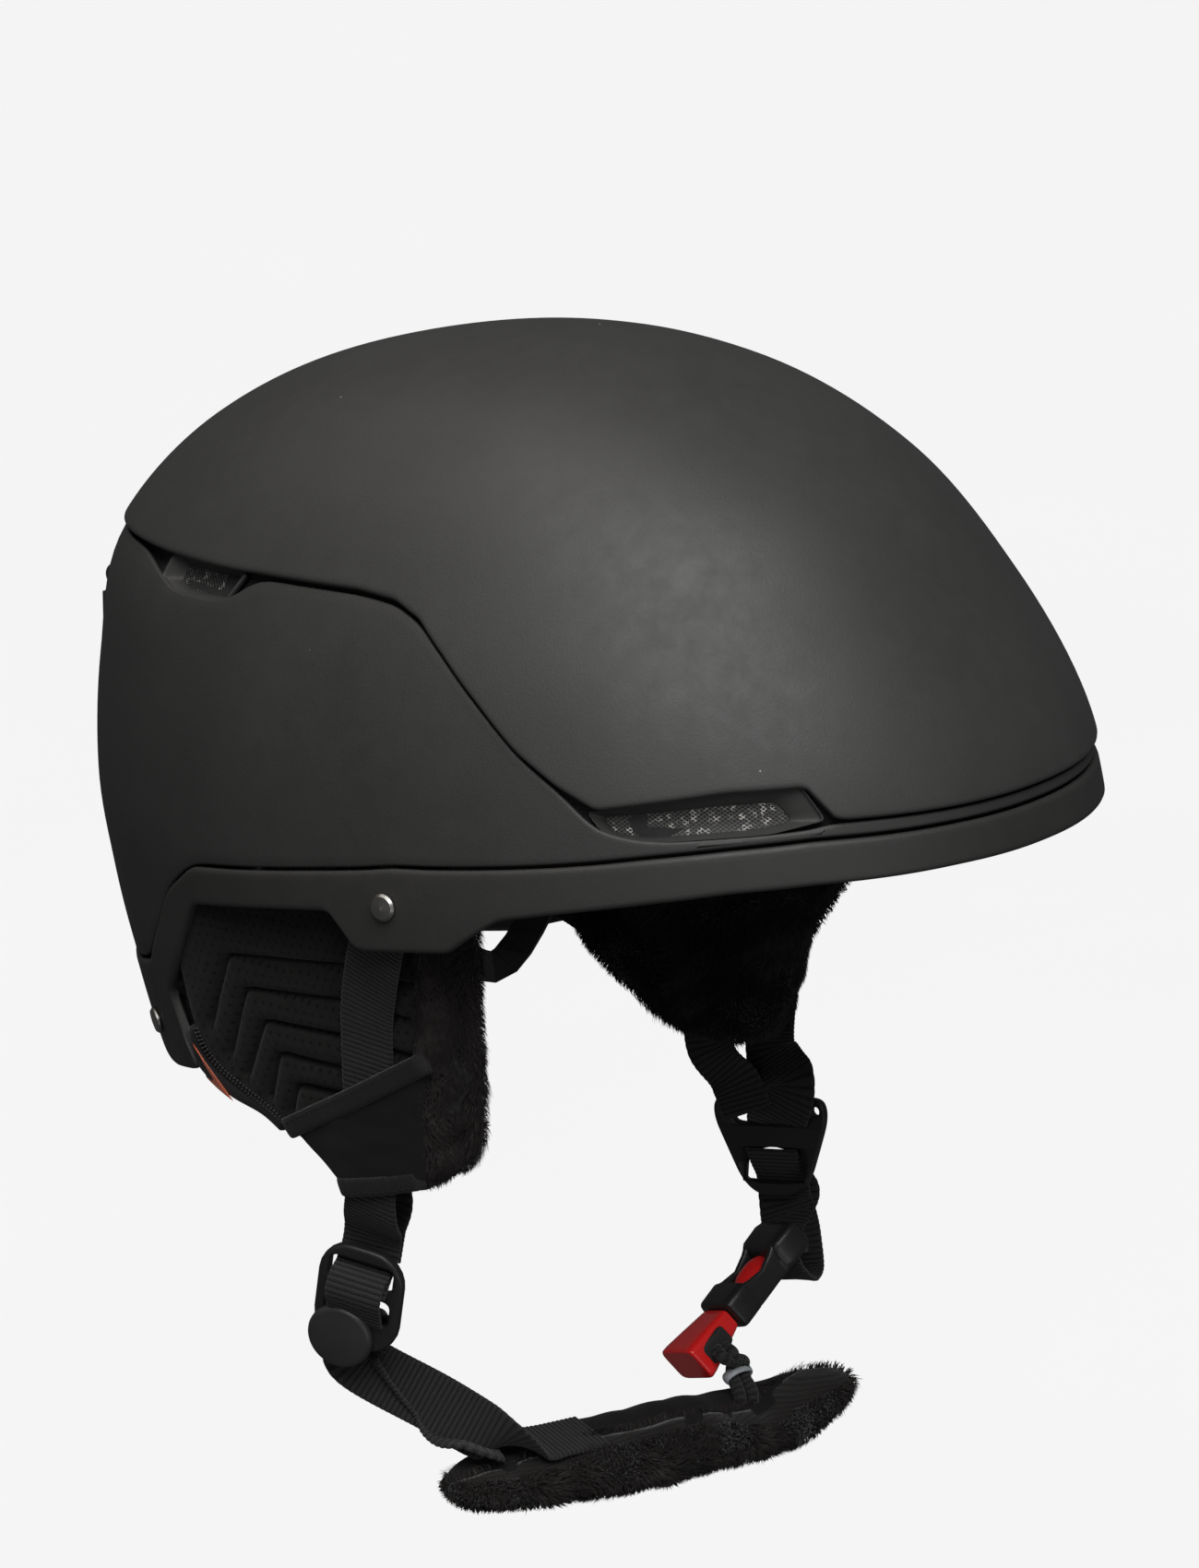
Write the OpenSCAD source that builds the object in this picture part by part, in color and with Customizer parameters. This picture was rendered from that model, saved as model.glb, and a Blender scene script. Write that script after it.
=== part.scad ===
// Ski helmet: hard shells over a foam liner, ear pads, riveted webbing, chin strap and a rear fit dial.
// The front of the helmet points to -Y, the wearer's left is +X, and the ear line is z = 0.

/* [Shell] */
// Reach of the brow ahead of the centre
front_reach = 143; // [118:1:173]
// Reach of the back of the shell behind the centre
rear_reach = 142; // [118:1:172]
// Half width of the shell above the ears
side_reach = 107; // [89:1:130]
// Height of the crown above the ear line
crown_height = 166; // [138:1:200]
// Wall of the top shell
top_wall = 2.4; // [1.6:0.1:3]
// Wall of the lower shell and of the rim band
lower_wall = 2.0; // [1.4:0.1:2.6]
// How far the top shell stands proud of the lower shell
panel_step = 1.8; // [0.8:0.1:2.4]
// Wall of the foam liner
foam_wall = 21; // [15:1:26]

/* [Comfort] */
// Thickness of the comfort pads inside the foam
liner_pad = 6; // [3:0.5:8]
// Foam thickness of an ear pad
ear_foam = 9; // [6:0.5:11]
// Pile thickness of an ear pad's lining
ear_pile = 10; // [6:0.5:12]
// Length of the chin pad
chin_pad_length = 138; // [110:1:165]
// Width of the chin pad
chin_pad_width = 30; // [24:1:36]
// Thickness of the chin pad
chin_pad_height = 13; // [10:0.5:16]

/* [Straps] */
// Width of the webbing
webbing_width = 16; // [13:0.5:19.5]
// Thickness of the webbing
webbing = 1.4; // [1:0.1:1.8]
// Width of the narrow buckle cord
cord_width = 8; // [6.5:0.5:10]
// Diameter of a rivet head
rivet_head = 7; // [5.5:0.5:8.5]
// Diameter of a rivet shank
rivet_shank = 3.2; // [2.4:0.2:4]

/* [Buckle] */
// Width of the buckle housing
buckle_width = 21; // [17.5:0.5:25.5]
// Thickness of the buckle housing
buckle_height = 10; // [9:0.5:12]
// Length of the buckle housing
buckle_length = 31; // [28:0.5:37.5]
// Wall of the buckle housing
buckle_wall = 1.6; // [1.2:0.1:1.9]
// Travel of the buckle insert on its way out
insert_travel = 28; // [20:1:34]

/* [Fit system] */
// Diameter of the fit dial
dial_diameter = 34; // [28:1:40]
// Module of the pinion and racks
gear_module = 0.8; // [0.7:0.1:0.9]
// Number of teeth on the pinion
pinion_teeth = 12; // [12:2:14]
// Length of each rack bar
rack_length = 34; // [28:1:38]

/* [Goggle clip] */
// Width of the goggle clip
clip_width = 34; // [28:1:42]
// Height of the goggle clip from hinge to stud
clip_height = 46; // [38:1:56]
// Gap between clip and shell for the goggle strap
strap_gap = 6; // [5:0.5:8]
// Diameter of the clip's hinge pin
clip_pin = 3; // [2.4:0.2:3.6]

/* [Hidden] */
$fn = 48;

gap = 0.5;            // clearance between neighbouring shells
rows = 7;             // rows of facets in a band of shell
plan_power = 2.15;    // squareness of the shell in plan
crown_shift = 2;      // the crown sits this far behind the centre
base_front = 143;     // the reaches and height that the outlines below were drawn at
base_rear = 142;
base_side = 107;
base_height = 166;

// ---- outer surface of the shell ----
// Radii at the listed heights, from below the ears to the crown, ahead, behind and to the side.
levels = [for (z = [-60, -30, 0, 22, 45, 75, 105, 135, 156, 166]) z * crown_height / base_height];
front_radii = [for (r = [116, 131, 141, 143, 140, 132, 113, 86, 47, 0]) r * front_reach / base_front];
rear_radii = [for (r = [102, 119, 130, 137, 142, 142, 138, 110, 65, 0]) r * rear_reach / base_rear];
side_radii = [for (r = [92, 101, 106, 107, 106.5, 102, 91, 71, 43, 0]) r * side_reach / base_side];

function padded_ends(v, last) = concat([2 * v[0] - v[1]], v, [last]);
function blend4(a, b, c, d, u) = 0.5 * (2 * b + (c - a) * u + (2 * a - 5 * b + 4 * c - d) * u * u
    + (3 * b - a - 3 * c + d) * u * u * u);
function along(e, t) = let (n = len(e) - 3, i = max(0, min(floor(t * n), n - 1)))
    blend4(e[i], e[i + 1], e[i + 2], e[i + 3], t * n - i);
function mirrored_end(v) = -v[len(v) - 2];
level_curve = padded_ends(levels, levels[len(levels) - 2]);
front_curve = padded_ends(front_radii, mirrored_end(front_radii));
rear_curve = padded_ends(rear_radii, mirrored_end(rear_radii));
side_curve = padded_ends(side_radii, mirrored_end(side_radii));

function unit(v) = v / norm(v);
function mix(a, b, u) = a + (b - a) * u;
// Share t of the way up the profile at which the surface has height z.
function t_at(z, lo = 0, hi = 1, n = 16) = n == 0 ? (lo + hi) / 2
    : let (m = (lo + hi) / 2) along(level_curve, m) < z ? t_at(z, m, hi, n - 1) : t_at(z, lo, m, n - 1);
function skin(a, t) = let (
        ahead = max(along(cos(a) >= 0 ? front_curve : rear_curve, t), 0.001),
        aside = max(along(side_curve, t), 0.001),
        r = pow(pow(abs(cos(a)) / ahead, plan_power) + pow(abs(sin(a)) / aside, plan_power), -1 / plan_power),
        z = along(level_curve, t))
    [r * sin(a), crown_shift * sin(90 * max(0, min(1, z / crown_height))) - r * cos(a), z];
function skin_normal(a, t) = unit(cross(skin(a + 0.5, t) - skin(a - 0.5, t),
    skin(a, min(t + 0.004, 0.999)) - skin(a, t - 0.004)));
// A point at angle a and height z on the surface that lies inset inside the skin.
function wall_at(a, z, inset) = let (t = min(t_at(z), 0.99)) skin(a, t) - inset * skin_normal(a, t);
function crown_at(inset) = [0, crown_shift, crown_height - inset];

// ---- outlines on the shell, as [angle, height] from the brow (0) to the back (180) ----
// Every outline below has one entry for each column of facets, so that neighbours share their corners.
function lift(outline, dz = 0) = [for (p = outline) [p[0], (p[1] + dz) * crown_height / base_height]];
// Lower edge of the top shell: it steps over the front vent, then climbs to the back.
panel_edge = [[0, 66], [14, 66], [28, 66], [31, 74], [40, 73], [49, 70], [55, 68], [60, 73], [65.5, 80],
    [71.5, 90], [78, 100], [83.5, 107.5], [89, 111], [97, 112], [109, 111.5], [118, 111], [123, 110.5], [134, 110],
    [138, 109.8], [146, 109.5], [155, 109], [163, 108.5], [171.5, 108], [180, 108]];
// Upper edge of the lower shell: it runs under the front vent and is notched for the rear vent.
lower_top = [[0, 65.5], [14, 65.5], [28, 65.5], [31, 64], [40, 62.5], [49, 61], [55, 63], [60, 72],
    [65.5, 79.2], [71.5, 89.2], [78, 99.2], [83.5, 106.7], [89, 110.2], [97, 111.2], [109, 110.7], [118, 110.2],
    [123, 103], [134, 102], [138, 104], [146, 108.4], [155, 108], [163, 107.6], [171.5, 107.2], [180, 107.2]];
// Joint between the lower shell and the rim band.
band_top = [[0, 62], [14, 62], [28, 61.5], [31, 61.3], [40, 59.5], [49, 57], [55, 55], [60, 53.5],
    [65.5, 52], [71.5, 50.5], [78, 49], [83.5, 48], [89, 46], [97, 43.5], [103, 41.5], [112, 38.5], [120, 36],
    [126, 27], [129.5, 16], [135, 3], [144, -2], [156, -3], [168, -3], [180, -3]];
// Lower edge of the rim band: brow, temple, rivet tab, ear notch and nape.
rim_edge = [[0, 52], [14, 52], [28, 51], [31, 50.7], [40, 49], [49, 46], [55, 43.8], [61, 41.5],
    [68, 38.5], [72, 33], [75, 28.5], [81, 27], [89.5, 25], [94, 34], [103, 31.4], [112, 28.5], [120.5, 25.5],
    [125.5, 9], [130.5, -4], [126, -22.6], [137, -27.5], [150, -27], [165, -26.5], [180, -26]];
foam_edge = [[0, 56], [12, 56], [24, 55.5], [36, 54], [48, 50], [60, 46], [68, 43], [74, 41], [80, 40.5], [86, 40.5],
    [92, 40.5], [98, 40.5], [104, 40.5], [110, 40.5], [116, 40], [122, 38], [128, 30], [134, 12], [141, -2],
    [149, -14], [157, -20], [165, -21], [172, -21], [180, -21]];

function both_sides(o) = concat(o, [for (i = [len(o) - 2:-1:1]) [-o[i][0], o[i][1]]]);

// A closed wall between two outlines, outer face at inset a, inner face at inset b. ring closes it on itself.
module wall(low, high, a, b, ring = true, n = rows) {
    m = len(low);
    pts = [for (inset = [a, b]) for (j = [0:n]) for (k = [0:m - 1])
        wall_at(mix(low[k][0], high[k][0], j / n), mix(low[k][1], high[k][1], j / n), inset)];
    function id(s, j, k) = s * (n + 1) * m + j * m + (k % m);
    last = ring ? m - 1 : m - 2;
    quads = concat(
        [for (j = [0:n - 1]) for (k = [0:last]) [id(0, j, k), id(0, j + 1, k), id(0, j + 1, k + 1), id(0, j, k + 1)]],
        [for (j = [0:n - 1]) for (k = [0:last]) [id(1, j, k), id(1, j, k + 1), id(1, j + 1, k + 1), id(1, j + 1, k)]],
        [for (k = [0:last]) [id(0, 0, k), id(0, 0, k + 1), id(1, 0, k + 1), id(1, 0, k)]],
        [for (k = [0:last]) [id(0, n, k), id(1, n, k), id(1, n, k + 1), id(0, n, k + 1)]],
        ring ? [] : [for (j = [0:n - 1]) [id(0, j, 0), id(1, j, 0), id(1, j + 1, 0), id(0, j + 1, 0)]],
        ring ? [] : [for (j = [0:n - 1]) [id(0, j, m - 1), id(0, j + 1, m - 1), id(1, j + 1, m - 1), id(1, j, m - 1)]]);
    polyhedron(pts, triangles(quads), convexity = 10);
}
function triangles(quads) = [for (q = quads) each len(q) == 4 ? [[q[0], q[1], q[2]], [q[0], q[2], q[3]]] : [q]];

// A dome from an outline up to the crown.
module dome(low, a, b, n = 11, crown_cap = 159) {
    m = len(low);
    top = crown_cap * crown_height / base_height;
    pts = concat([for (inset = [a, b]) for (j = [0:n]) for (k = [0:m - 1])
        wall_at(low[k][0], mix(low[k][1], top, sin(90 * j / n)), inset)], [crown_at(a), crown_at(b)]);
    function id(s, j, k) = s * (n + 1) * m + j * m + (k % m);
    quads = concat(
        [for (j = [0:n - 1]) for (k = [0:m - 1]) [id(0, j, k), id(0, j + 1, k), id(0, j + 1, k + 1), id(0, j, k + 1)]],
        [for (j = [0:n - 1]) for (k = [0:m - 1]) [id(1, j, k), id(1, j, k + 1), id(1, j + 1, k + 1), id(1, j + 1, k)]],
        [for (k = [0:m - 1]) [id(0, 0, k), id(0, 0, k + 1), id(1, 0, k + 1), id(1, 0, k)]],
        [for (k = [0:m - 1]) [id(0, n, k), len(pts) - 2, id(0, n, k + 1)]],
        [for (k = [0:m - 1]) [id(1, n, k), id(1, n, k + 1), len(pts) - 1]]);
    polyhedron(pts, triangles(quads), convexity = 10);
}

// A patch of wall between two angles and two heights, on one side or, from -a to a, across the middle.
module patch(a0, a1, z0, z1, a, b, columns = 8, n = 4) {
    angles = [for (k = [0:columns]) mix(a0, a1, k / columns)];
    wall(lift([for (g = angles) [g, z0]]), lift([for (g = angles) [g, z1]]), a, b, ring = false, n = n);
}

// ---- layers through the wall ----
proud = panel_step / 2;
lower_face = proud;
shell_back = lower_face + lower_wall;
foam_face = shell_back + gap + 1;
foam_back = foam_face + foam_wall;
pad_face = foam_back + 1.3;
pad_back = pad_face + liner_pad;

// ---- places that follow the shell's size ----
function place(p) = [p[0] * side_reach / base_side,
    p[1] * (p[1] < 0 ? front_reach / base_front : rear_reach / base_rear),
    p[2] * crown_height / base_height];

// ---- shells ----
module top_shell() color("#2c2c2c")
    dome(both_sides(lift(panel_edge)), -proud, top_wall - proud, n = 9);
module lower_shell() color("#262626")
    wall(both_sides(lift(band_top, gap)), both_sides(lift(lower_top)), lower_face, shell_back);
module rim_band() color("#242424") resize([0, 0, 0]) difference() {
    wall(both_sides(lift(rim_edge)), both_sides(lift(band_top)), lower_face - 0.6, shell_back, n = 4);
    rivet_holes();
}

// Windows through the foam behind the vents, on both sides of the helmet.
module foam_windows() {
    for (v = [[-88, 67, 30, 7], [74, 106, 24, 5]])
        translate([0, place([0, v[0], 0])[1], v[1] * crown_height / base_height])
            cube([3 * side_reach, v[2], v[3]], center = true);
}
// The liner is moulded in two pieces that are bonded face to face: a lower ring and a crown.
foam_split = [for (p = foam_edge) [p[0], 98]];
module foam_liner() color("#1b1b1b")
    resize([0, 0, 0]) difference() {
        wall(both_sides(lift(foam_edge)), both_sides(lift(foam_split)), foam_face, foam_back, n = 5);
        foam_windows();
        for (s = [-1, 1]) translate(place([s * 104, -8, 40])) cube([16, 34, 26], center = true);
        ear_clip_set(clip_stud + 0.8);
    }
module foam_crown() color("#1e1e1e")
    resize([0, 0, 0]) difference() {
        dome(both_sides(lift(foam_split, 0.3)), foam_face, foam_back, n = 5, crown_cap = 158);
        foam_windows();
    }

// ---- vent meshes, each a pair ----
module mesh_pair(low, high, inset) {
    for (s = [-1, 1]) mirror([s < 0 ? 1 : 0, 0, 0])
        wall(lift(low), lift(high), inset, inset + 0.6, ring = false, n = 2);
}
module front_vent_mesh() color("#3a3a3a")
    mesh_pair([[32, 65], [40, 63.8], [49, 62.6], [54, 64.2]], [[32, 73], [40, 72.4], [49, 69.6], [54, 68.2]], shell_back - 0.8);
module rear_vent_mesh() color("#1d1d1d")
    mesh_pair([[123.5, 104.5], [128, 104], [133, 104], [138, 105]],
        [[123.5, 110], [128, 109.8], [133, 109.6], [138, 109.2]], shell_back - 0.8);

// ---- comfort liner ----
module crown_pad() color("#171717") for (s = [-1, 1])
    patch(90 + s * 90 - 50, 90 + s * 90 + 50, 124, 146, pad_face, pad_back, columns = 8, n = 3);
module brow_pad() color("#171717") patch(-52, 52, 57, 84, pad_face, pad_back, columns = 12, n = 3);
module side_pads() color("#171717") for (s = [0, 1]) mirror([s, 0, 0])
    patch(66, 118, 52, 92, pad_face, pad_back, columns = 6, n = 3);
module nape_pad() color("#171717") patch(138, 222, 8, 46, pad_face, pad_back, columns = 8, n = 3);

// ---- fit system ----
dial_centre = place([0, 86, -33]);
housing_depth = 10;
pitch_radius = gear_module * pinion_teeth / 2;
rack_pitch = PI * gear_module;
rack_back = 3;
rack_width = 4;
housing_radius = dial_diameter / 2 + 2;
module at_dial() translate(dial_centre) rotate([-90, 0, 0]) children();
// In the dial's own frame Z points back, and the racks run along X.
slot_height = 2 * (pitch_radius + gear_module * 1.1 + rack_back) + 1;
module fit_housing() color("#202020") at_dial() difference() {
    translate([0, 0, -housing_depth]) cylinder(r = housing_radius, h = housing_depth);
    translate([-housing_radius - 1, -slot_height / 2, -housing_depth + 2])
        cube([2 * housing_radius + 2, slot_height, rack_width + 1]);
    translate([0, 0, -housing_depth + 1]) cylinder(r = pitch_radius + gear_module + 0.6, h = housing_depth);
    translate([0, 0, -housing_depth - 1]) cylinder(d = 3.2, h = housing_depth);
    for (s = [-1, 1]) translate([s * (housing_radius - 3), housing_radius * 0.5, -housing_depth - 1])
        cylinder(d = 2.2, h = 2 * housing_depth);
}
module fit_housing_cover() color("#262626") at_dial()
    translate([0, 0, -housing_depth - 1.6]) difference() {
        cylinder(r = housing_radius - 0.5, h = 1.5);
        translate([0, 0, -1]) cylinder(d = 3.2, h = 4);
    }
module tooth(root, mid, tip, foot, head) polygon([[-root, foot], [-mid, (foot + head) / 2], [-tip, head],
    [tip, head], [mid, (foot + head) / 2], [root, foot]]);
module fit_dial() color("#1a1a1a") at_dial() difference() {
    union() {
        translate([0, 0, 0.6]) cylinder(d = dial_diameter - 2, h = 8);
        for (k = [0:23]) rotate(15 * k) translate([dial_diameter / 2 - 1.2, 0, 0.6]) cylinder(d = 2.4, h = 8, $fn = 10);
        translate([0, 0, -housing_depth + 2.4]) linear_extrude(rack_width) {
            circle(r = pitch_radius - 1.2 * gear_module);
            for (k = [0:pinion_teeth - 1]) rotate(360 / pinion_teeth * k)
                tooth(0.62, 0.46, 0.2, pitch_radius - 1.4 * gear_module, pitch_radius + 0.85 * gear_module);
        }
        translate([0, 0, -housing_depth + 2.4]) cylinder(r = pitch_radius - 1.2 * gear_module, h = housing_depth);
    }
    translate([0, 0, -housing_depth]) cylinder(d = 3.3, h = 30);
}
module dial_screw() color("silver") at_dial() translate([0, 0, -housing_depth - 4]) difference() {
    union() {
        translate([0, 0, 0]) cylinder(d = 6, h = 2.2);
        cylinder(d = 3, h = housing_depth + 10);
    }
    translate([0, 0, -1]) cylinder(d = 3, h = 2, $fn = 6);
}
// A rack bar with a flexible arm that runs forward along the wearer's head.
module rack(side) {
    up = -side;
    translate([0, up * pitch_radius, 0]) {
        for (k = [-6:5]) translate([(k + 0.5) * rack_pitch, 0])
            scale([1, up]) tooth(0.72, 0.46, 0.2, 1.15 * gear_module, -0.85 * gear_module);
        translate([0, up * (1.1 * gear_module + rack_back / 2)])
            square([rack_length, rack_back], center = true);
    }
}
arm_reach = 30;
module rack_arm(side) {
    at_dial() translate([0, 0, -housing_depth + 2.4]) {
        linear_extrude(rack_width) rack(side);
        translate([side * (rack_length / 2 + arm_reach / 2 - 0.5), -side * (pitch_radius + 1.1 * gear_module + rack_back / 2),
            rack_width / 2]) cube([arm_reach, rack_back, rack_width], center = true);
    }
}
module temple_arm(side) {
    start = dial_centre + [side * (rack_length / 2 + arm_reach - 3), -housing_depth + 2.4 + rack_width / 2,
        side * (pitch_radius + 1.1 * gear_module + rack_back / 2)];
    route = [start, place([side * 54, 72, -30]), place([side * 60, 62, -12]), place([side * 63, 54, 12]),
        place([side * 64, 46, 34])];
    ribbon(route, [[0, 0.2, 1], [0, 0.5, 1], [0, 0.9, 0.5], [0, 1, 0.1], [0, 1, 0]], 9, 1.6, 14);
}
module fit_rack_left() color("#303030") { rack_arm(1); temple_arm(1); }
module fit_rack_right() color("#303030") { rack_arm(-1); temple_arm(-1); }
cradle_y = dial_centre[1] - housing_depth - 3.9;
module fit_cradle() color("#222222") {
    for (s = [-1, 1]) hull() {
        translate([s * 11, cradle_y, dial_centre[2] + 20]) rotate([-90, 0, 0]) cylinder(d = 9, h = 2);
        translate([s * 19, cradle_y, dial_centre[2] + 62]) rotate([-90, 0, 0]) cylinder(d = 9, h = 2);
    }
    translate([-13, cradle_y, dial_centre[2] + 4]) cube([26, 2, 18]);
}

// ---- ribbons ----
// A flat strap through points, with its width along the given direction at each point.
function spline_at(p, t) = let (n = len(p) - 1, i = max(0, min(floor(t * n), n - 1)), u = t * n - i,
        a = i > 0 ? p[i - 1] : 2 * p[0] - p[1], d = i + 2 <= n ? p[i + 2] : 2 * p[n] - p[n - 1])
    blend4(a, p[i], p[i + 1], d, u);
module ribbon(route, across, width, thick, n) {
    rings = [for (k = [0:n]) let (t = k / n, p = spline_at(route, t),
            dir = unit(spline_at(route, min(t + 0.01, 1)) - spline_at(route, max(t - 0.01, 0))),
            w0 = spline_at(across, t), w = unit(w0 - (w0 * dir) * dir), h = cross(dir, w))
        [p + w * width / 2 + h * thick / 2, p - w * width / 2 + h * thick / 2,
         p - w * width / 2 - h * thick / 2, p + w * width / 2 - h * thick / 2]];
    pts = [for (r = rings) each r];
    faces = concat(triangles([[0, 1, 2, 3], [4 * n + 3, 4 * n + 2, 4 * n + 1, 4 * n]]),
        triangles([for (k = [0:n - 1]) for (e = [0:3])
            [4 * k + e, 4 * k + 4 + e, 4 * k + 4 + (e + 1) % 4, 4 * k + (e + 1) % 4]]));
    polyhedron(pts, faces, convexity = 10);
}

// ---- ear pads, drawn on the left and mirrored to the right ----
ear_lean = 9.1;
ear_origin = place([96, 20, 30]);
module at_ear() translate(ear_origin) rotate([0, ear_lean, 0]) children();
module ear_outline(points) rotate([90, 0, 90]) linear_extrude(1) polygon(points);
// Prism of a (y, z) outline between two depths behind the pad's outer face.
module ear_slab(points, front, back) at_ear() translate([-back, 0, 0]) rotate([90, 0, 90])
    linear_extrude(back - front) polygon([for (p = points) [p[0] * rear_reach / base_rear, p[1] * crown_height / base_height]]);
ear_face = [[-29, 4], [29, 4], [37, -8], [43, -24], [46.6, -43], [44, -53], [36, -58], [26, -61], [19, -66], [13, -70],
    [1, -78], [-25, -76], [-27, -60], [-29, -40]];
ear_back = [[-45, 3.5], [28, 3.5], [36, -9], [42, -24], [45, -42], [34, -58], [18, -68], [2, -76], [-26, -77],
    [-37, -72], [-40, -50], [-43, -25]];
module ear_pad() ear_slab(ear_face, 0, ear_foam);
module ear_lining() {
    ear_slab(ear_back, ear_foam + webbing + 1, ear_foam + webbing + ear_pile);
    ear_slab([[-45, 3.5], [-29.6, 3.5], [-29.6, -40], [-27.6, -60], [-25.6, -76.4], [-37, -72], [-40, -50], [-43, -25]],
        1, ear_foam + webbing + ear_pile);
}
pocket = [[-29.5, -34], [20, -63.5], [18, -67.5], [1, -79], [-24, -70.5], [-26, -58]];
module ear_pocket() ear_slab(pocket, -webbing - 2.6, -webbing - 1.5);
module pocket_binding() {
    ear_slab([[-29.5, -34], [20, -63.5], [18, -67.5], [-29, -39.5]], -webbing - 3.7, -webbing - 2.8);
    ear_slab([[3, -79], [-24, -70], [-23.5, -65], [5.5, -74.5]], -webbing - 3.7, -webbing - 2.8);
}
module ear_tab() ear_slab([[46, -46.5], [44.2, -53], [35.5, -59], [39, -51.5]], -1.2, -0.2);
module ear_pad_left() color("#151515") ear_pad();
module ear_pad_right() color("#151515") mirror([1, 0, 0]) ear_pad();
module ear_lining_left() color("#241f1e") ear_lining();
module ear_lining_right() color("#241f1e") mirror([1, 0, 0]) ear_lining();
module ear_pocket_left() color("#131313") ear_pocket();
module ear_pocket_right() color("#131313") mirror([1, 0, 0]) ear_pocket();
module pocket_binding_left() color("#1c1c1d") pocket_binding();
module pocket_binding_right() color("#1c1c1d") mirror([1, 0, 0]) pocket_binding();
module ear_tab_left() color("#cf5a35") ear_tab();
module ear_tab_right() color("#cf5a35") mirror([1, 0, 0]) ear_tab();
// Push-in studs that stand on the pads and hold them in sockets in the foam, three a side.
clip_stud = 7;
module ear_clip_set(d) for (s = [0, 1]) mirror([s, 0, 0]) at_ear() for (y = [-24, 0, 22])
    translate([-4.5, y, 4.1 * crown_height / base_height]) cylinder(d = d, h = 9 + (d - clip_stud), $fn = 24);
module ear_clips() color("#2a2a2a") ear_clip_set(clip_stud);

// ---- webbing ----
divider_right = place([-78, 21, -77]);
divider_left = place([81, -3, -74]);
function flip(p) = [-p[0], p[1], p[2]];
function flips(route) = [for (p = route) flip(p)];
function pad_point(y, z, out) = let (yy = y * rear_reach / base_rear, zz = z * crown_height / base_height)
    ear_origin + [cos(ear_lean) * out + sin(ear_lean) * zz, yy, cos(ear_lean) * zz - sin(ear_lean) * out];
// Each divider has its own frame: X' across the webbing, Y' along it and downwards, Z' out of its face.
function plate_frame(down, out) = let (y = unit(down), z = unit(out - (out * y) * y), x = cross(y, z))
    [[x[0], y[0], z[0], 0], [x[1], y[1], z[1], 0], [x[2], y[2], z[2], 0]];
function in_frame(f, at, p) = at + [for (r = f) r[0] * p[0] + r[1] * p[1] + r[2] * p[2]];
right_frame = plate_frame([0.1, 0.22, -0.95], [-1, -0.25, -0.15]);
left_frame = plate_frame([-0.05, -0.12, -1], [1, -0.25, 0.05]);
function at_right(y, z) = in_frame(right_frame, divider_right, [0, y, z]);
function at_left(y, z) = in_frame(left_frame, divider_left, [0, y, z]);
right_across = [for (r = right_frame) r[0]];
left_across = [for (r = left_frame) -r[0]];

strap_inset = shell_back + 0.6 + webbing / 2;
washer_inset = strap_inset + webbing / 2 + 0.5;
washer = 0.8;
front_angle = 84.5;
front_height = 38 * crown_height / base_height;
rear_angle = 138.5;
rear_height = -15.6 * crown_height / base_height;
front_out = skin_normal(front_angle, t_at(front_height));
rear_out = skin_normal(rear_angle, t_at(rear_height));
function front_stack(inset) = wall_at(front_angle, front_height, 0) - inset * front_out;
function rear_stack(inset) = wall_at(rear_angle, rear_height, 0) - inset * rear_out;
// Columns X', Y', Z' of a frame whose Z' is along z and whose X' is square to z, near x.
function frame_of(z, x) = let (c = unit(z), a = unit(x - (x * c) * c), b = cross(c, a))
    [[a[0], b[0], c[0], 0], [a[1], b[1], c[1], 0], [a[2], b[2], c[2], 0]];
module through(p, out, d, from, to) translate(p) multmatrix(frame_of(out, [0, 0, 1]))
    translate([0, 0, -to]) cylinder(d = d, h = to - from, $fn = 24);
module rivet_holes() for (s = [0, 1]) mirror([s, 0, 0]) {
    through(front_stack(0), front_out, rivet_shank + 0.2, -3, 12);
    through(rear_stack(0), rear_out, rivet_shank + 0.2, -3, 12);
}
module riveted_strap(route, across, n) resize([0, 0, 0]) difference() {
    ribbon(route, across, webbing_width, webbing, n);
    rivet_holes();
}

strap_out = webbing / 2 + 0.3;
function tangent(v, n) = unit(v - (v * n) * n);
function in_pad(y, z) = [sin(ear_lean) * z, y, cos(ear_lean) * z];
strap_down = tangent([0, 0.5, -0.86], front_out);
front_start = [front_stack(strap_inset) - 9 * strap_down, front_stack(strap_inset), front_stack(strap_inset + 0.8) + 9 * strap_down];
front_first = [cross(front_out, strap_down), cross(front_out, strap_down), in_pad(0.9, 0.4)];
front_route_left = concat(front_start, [pad_point(-20, -22, strap_out + 1), pad_point(-18, -38, strap_out),
    pad_point(-18, -58, strap_out), pad_point(-19, -80, strap_out), at_left(-16, -4), at_left(-8.2, -3.6), at_left(-3.7, 0), at_left(0.5, 3.5)]);
front_across_left = concat(front_first, [in_pad(1, 0.1), in_pad(1, 0), in_pad(1, 0), in_pad(1, 0), left_across, left_across, left_across, left_across]);
front_route_right = concat(flips(front_start), [flip(pad_point(-15, -22, strap_out + 1)), flip(pad_point(-12, -38, strap_out)),
    flip(pad_point(-10, -58, strap_out)), flip(pad_point(-7, -82, strap_out - 0.2)), at_right(-16, -4), at_right(-10, -3.6), at_right(-5.5, 0), at_right(-1.3, 3.5)]);
front_across_right = concat([for (v = front_first) flip(v)], [flip(in_pad(1, 0.15)), flip(in_pad(1, 0.1)), flip(in_pad(1, 0.1)), flip(in_pad(1, 0.1)),
    right_across, right_across, right_across, right_across]);
module strap_front_left() color("#131314") riveted_strap(front_route_left, front_across_left, 33);
module strap_front_right() color("#131314") riveted_strap(front_route_right, front_across_right, 33);
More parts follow.
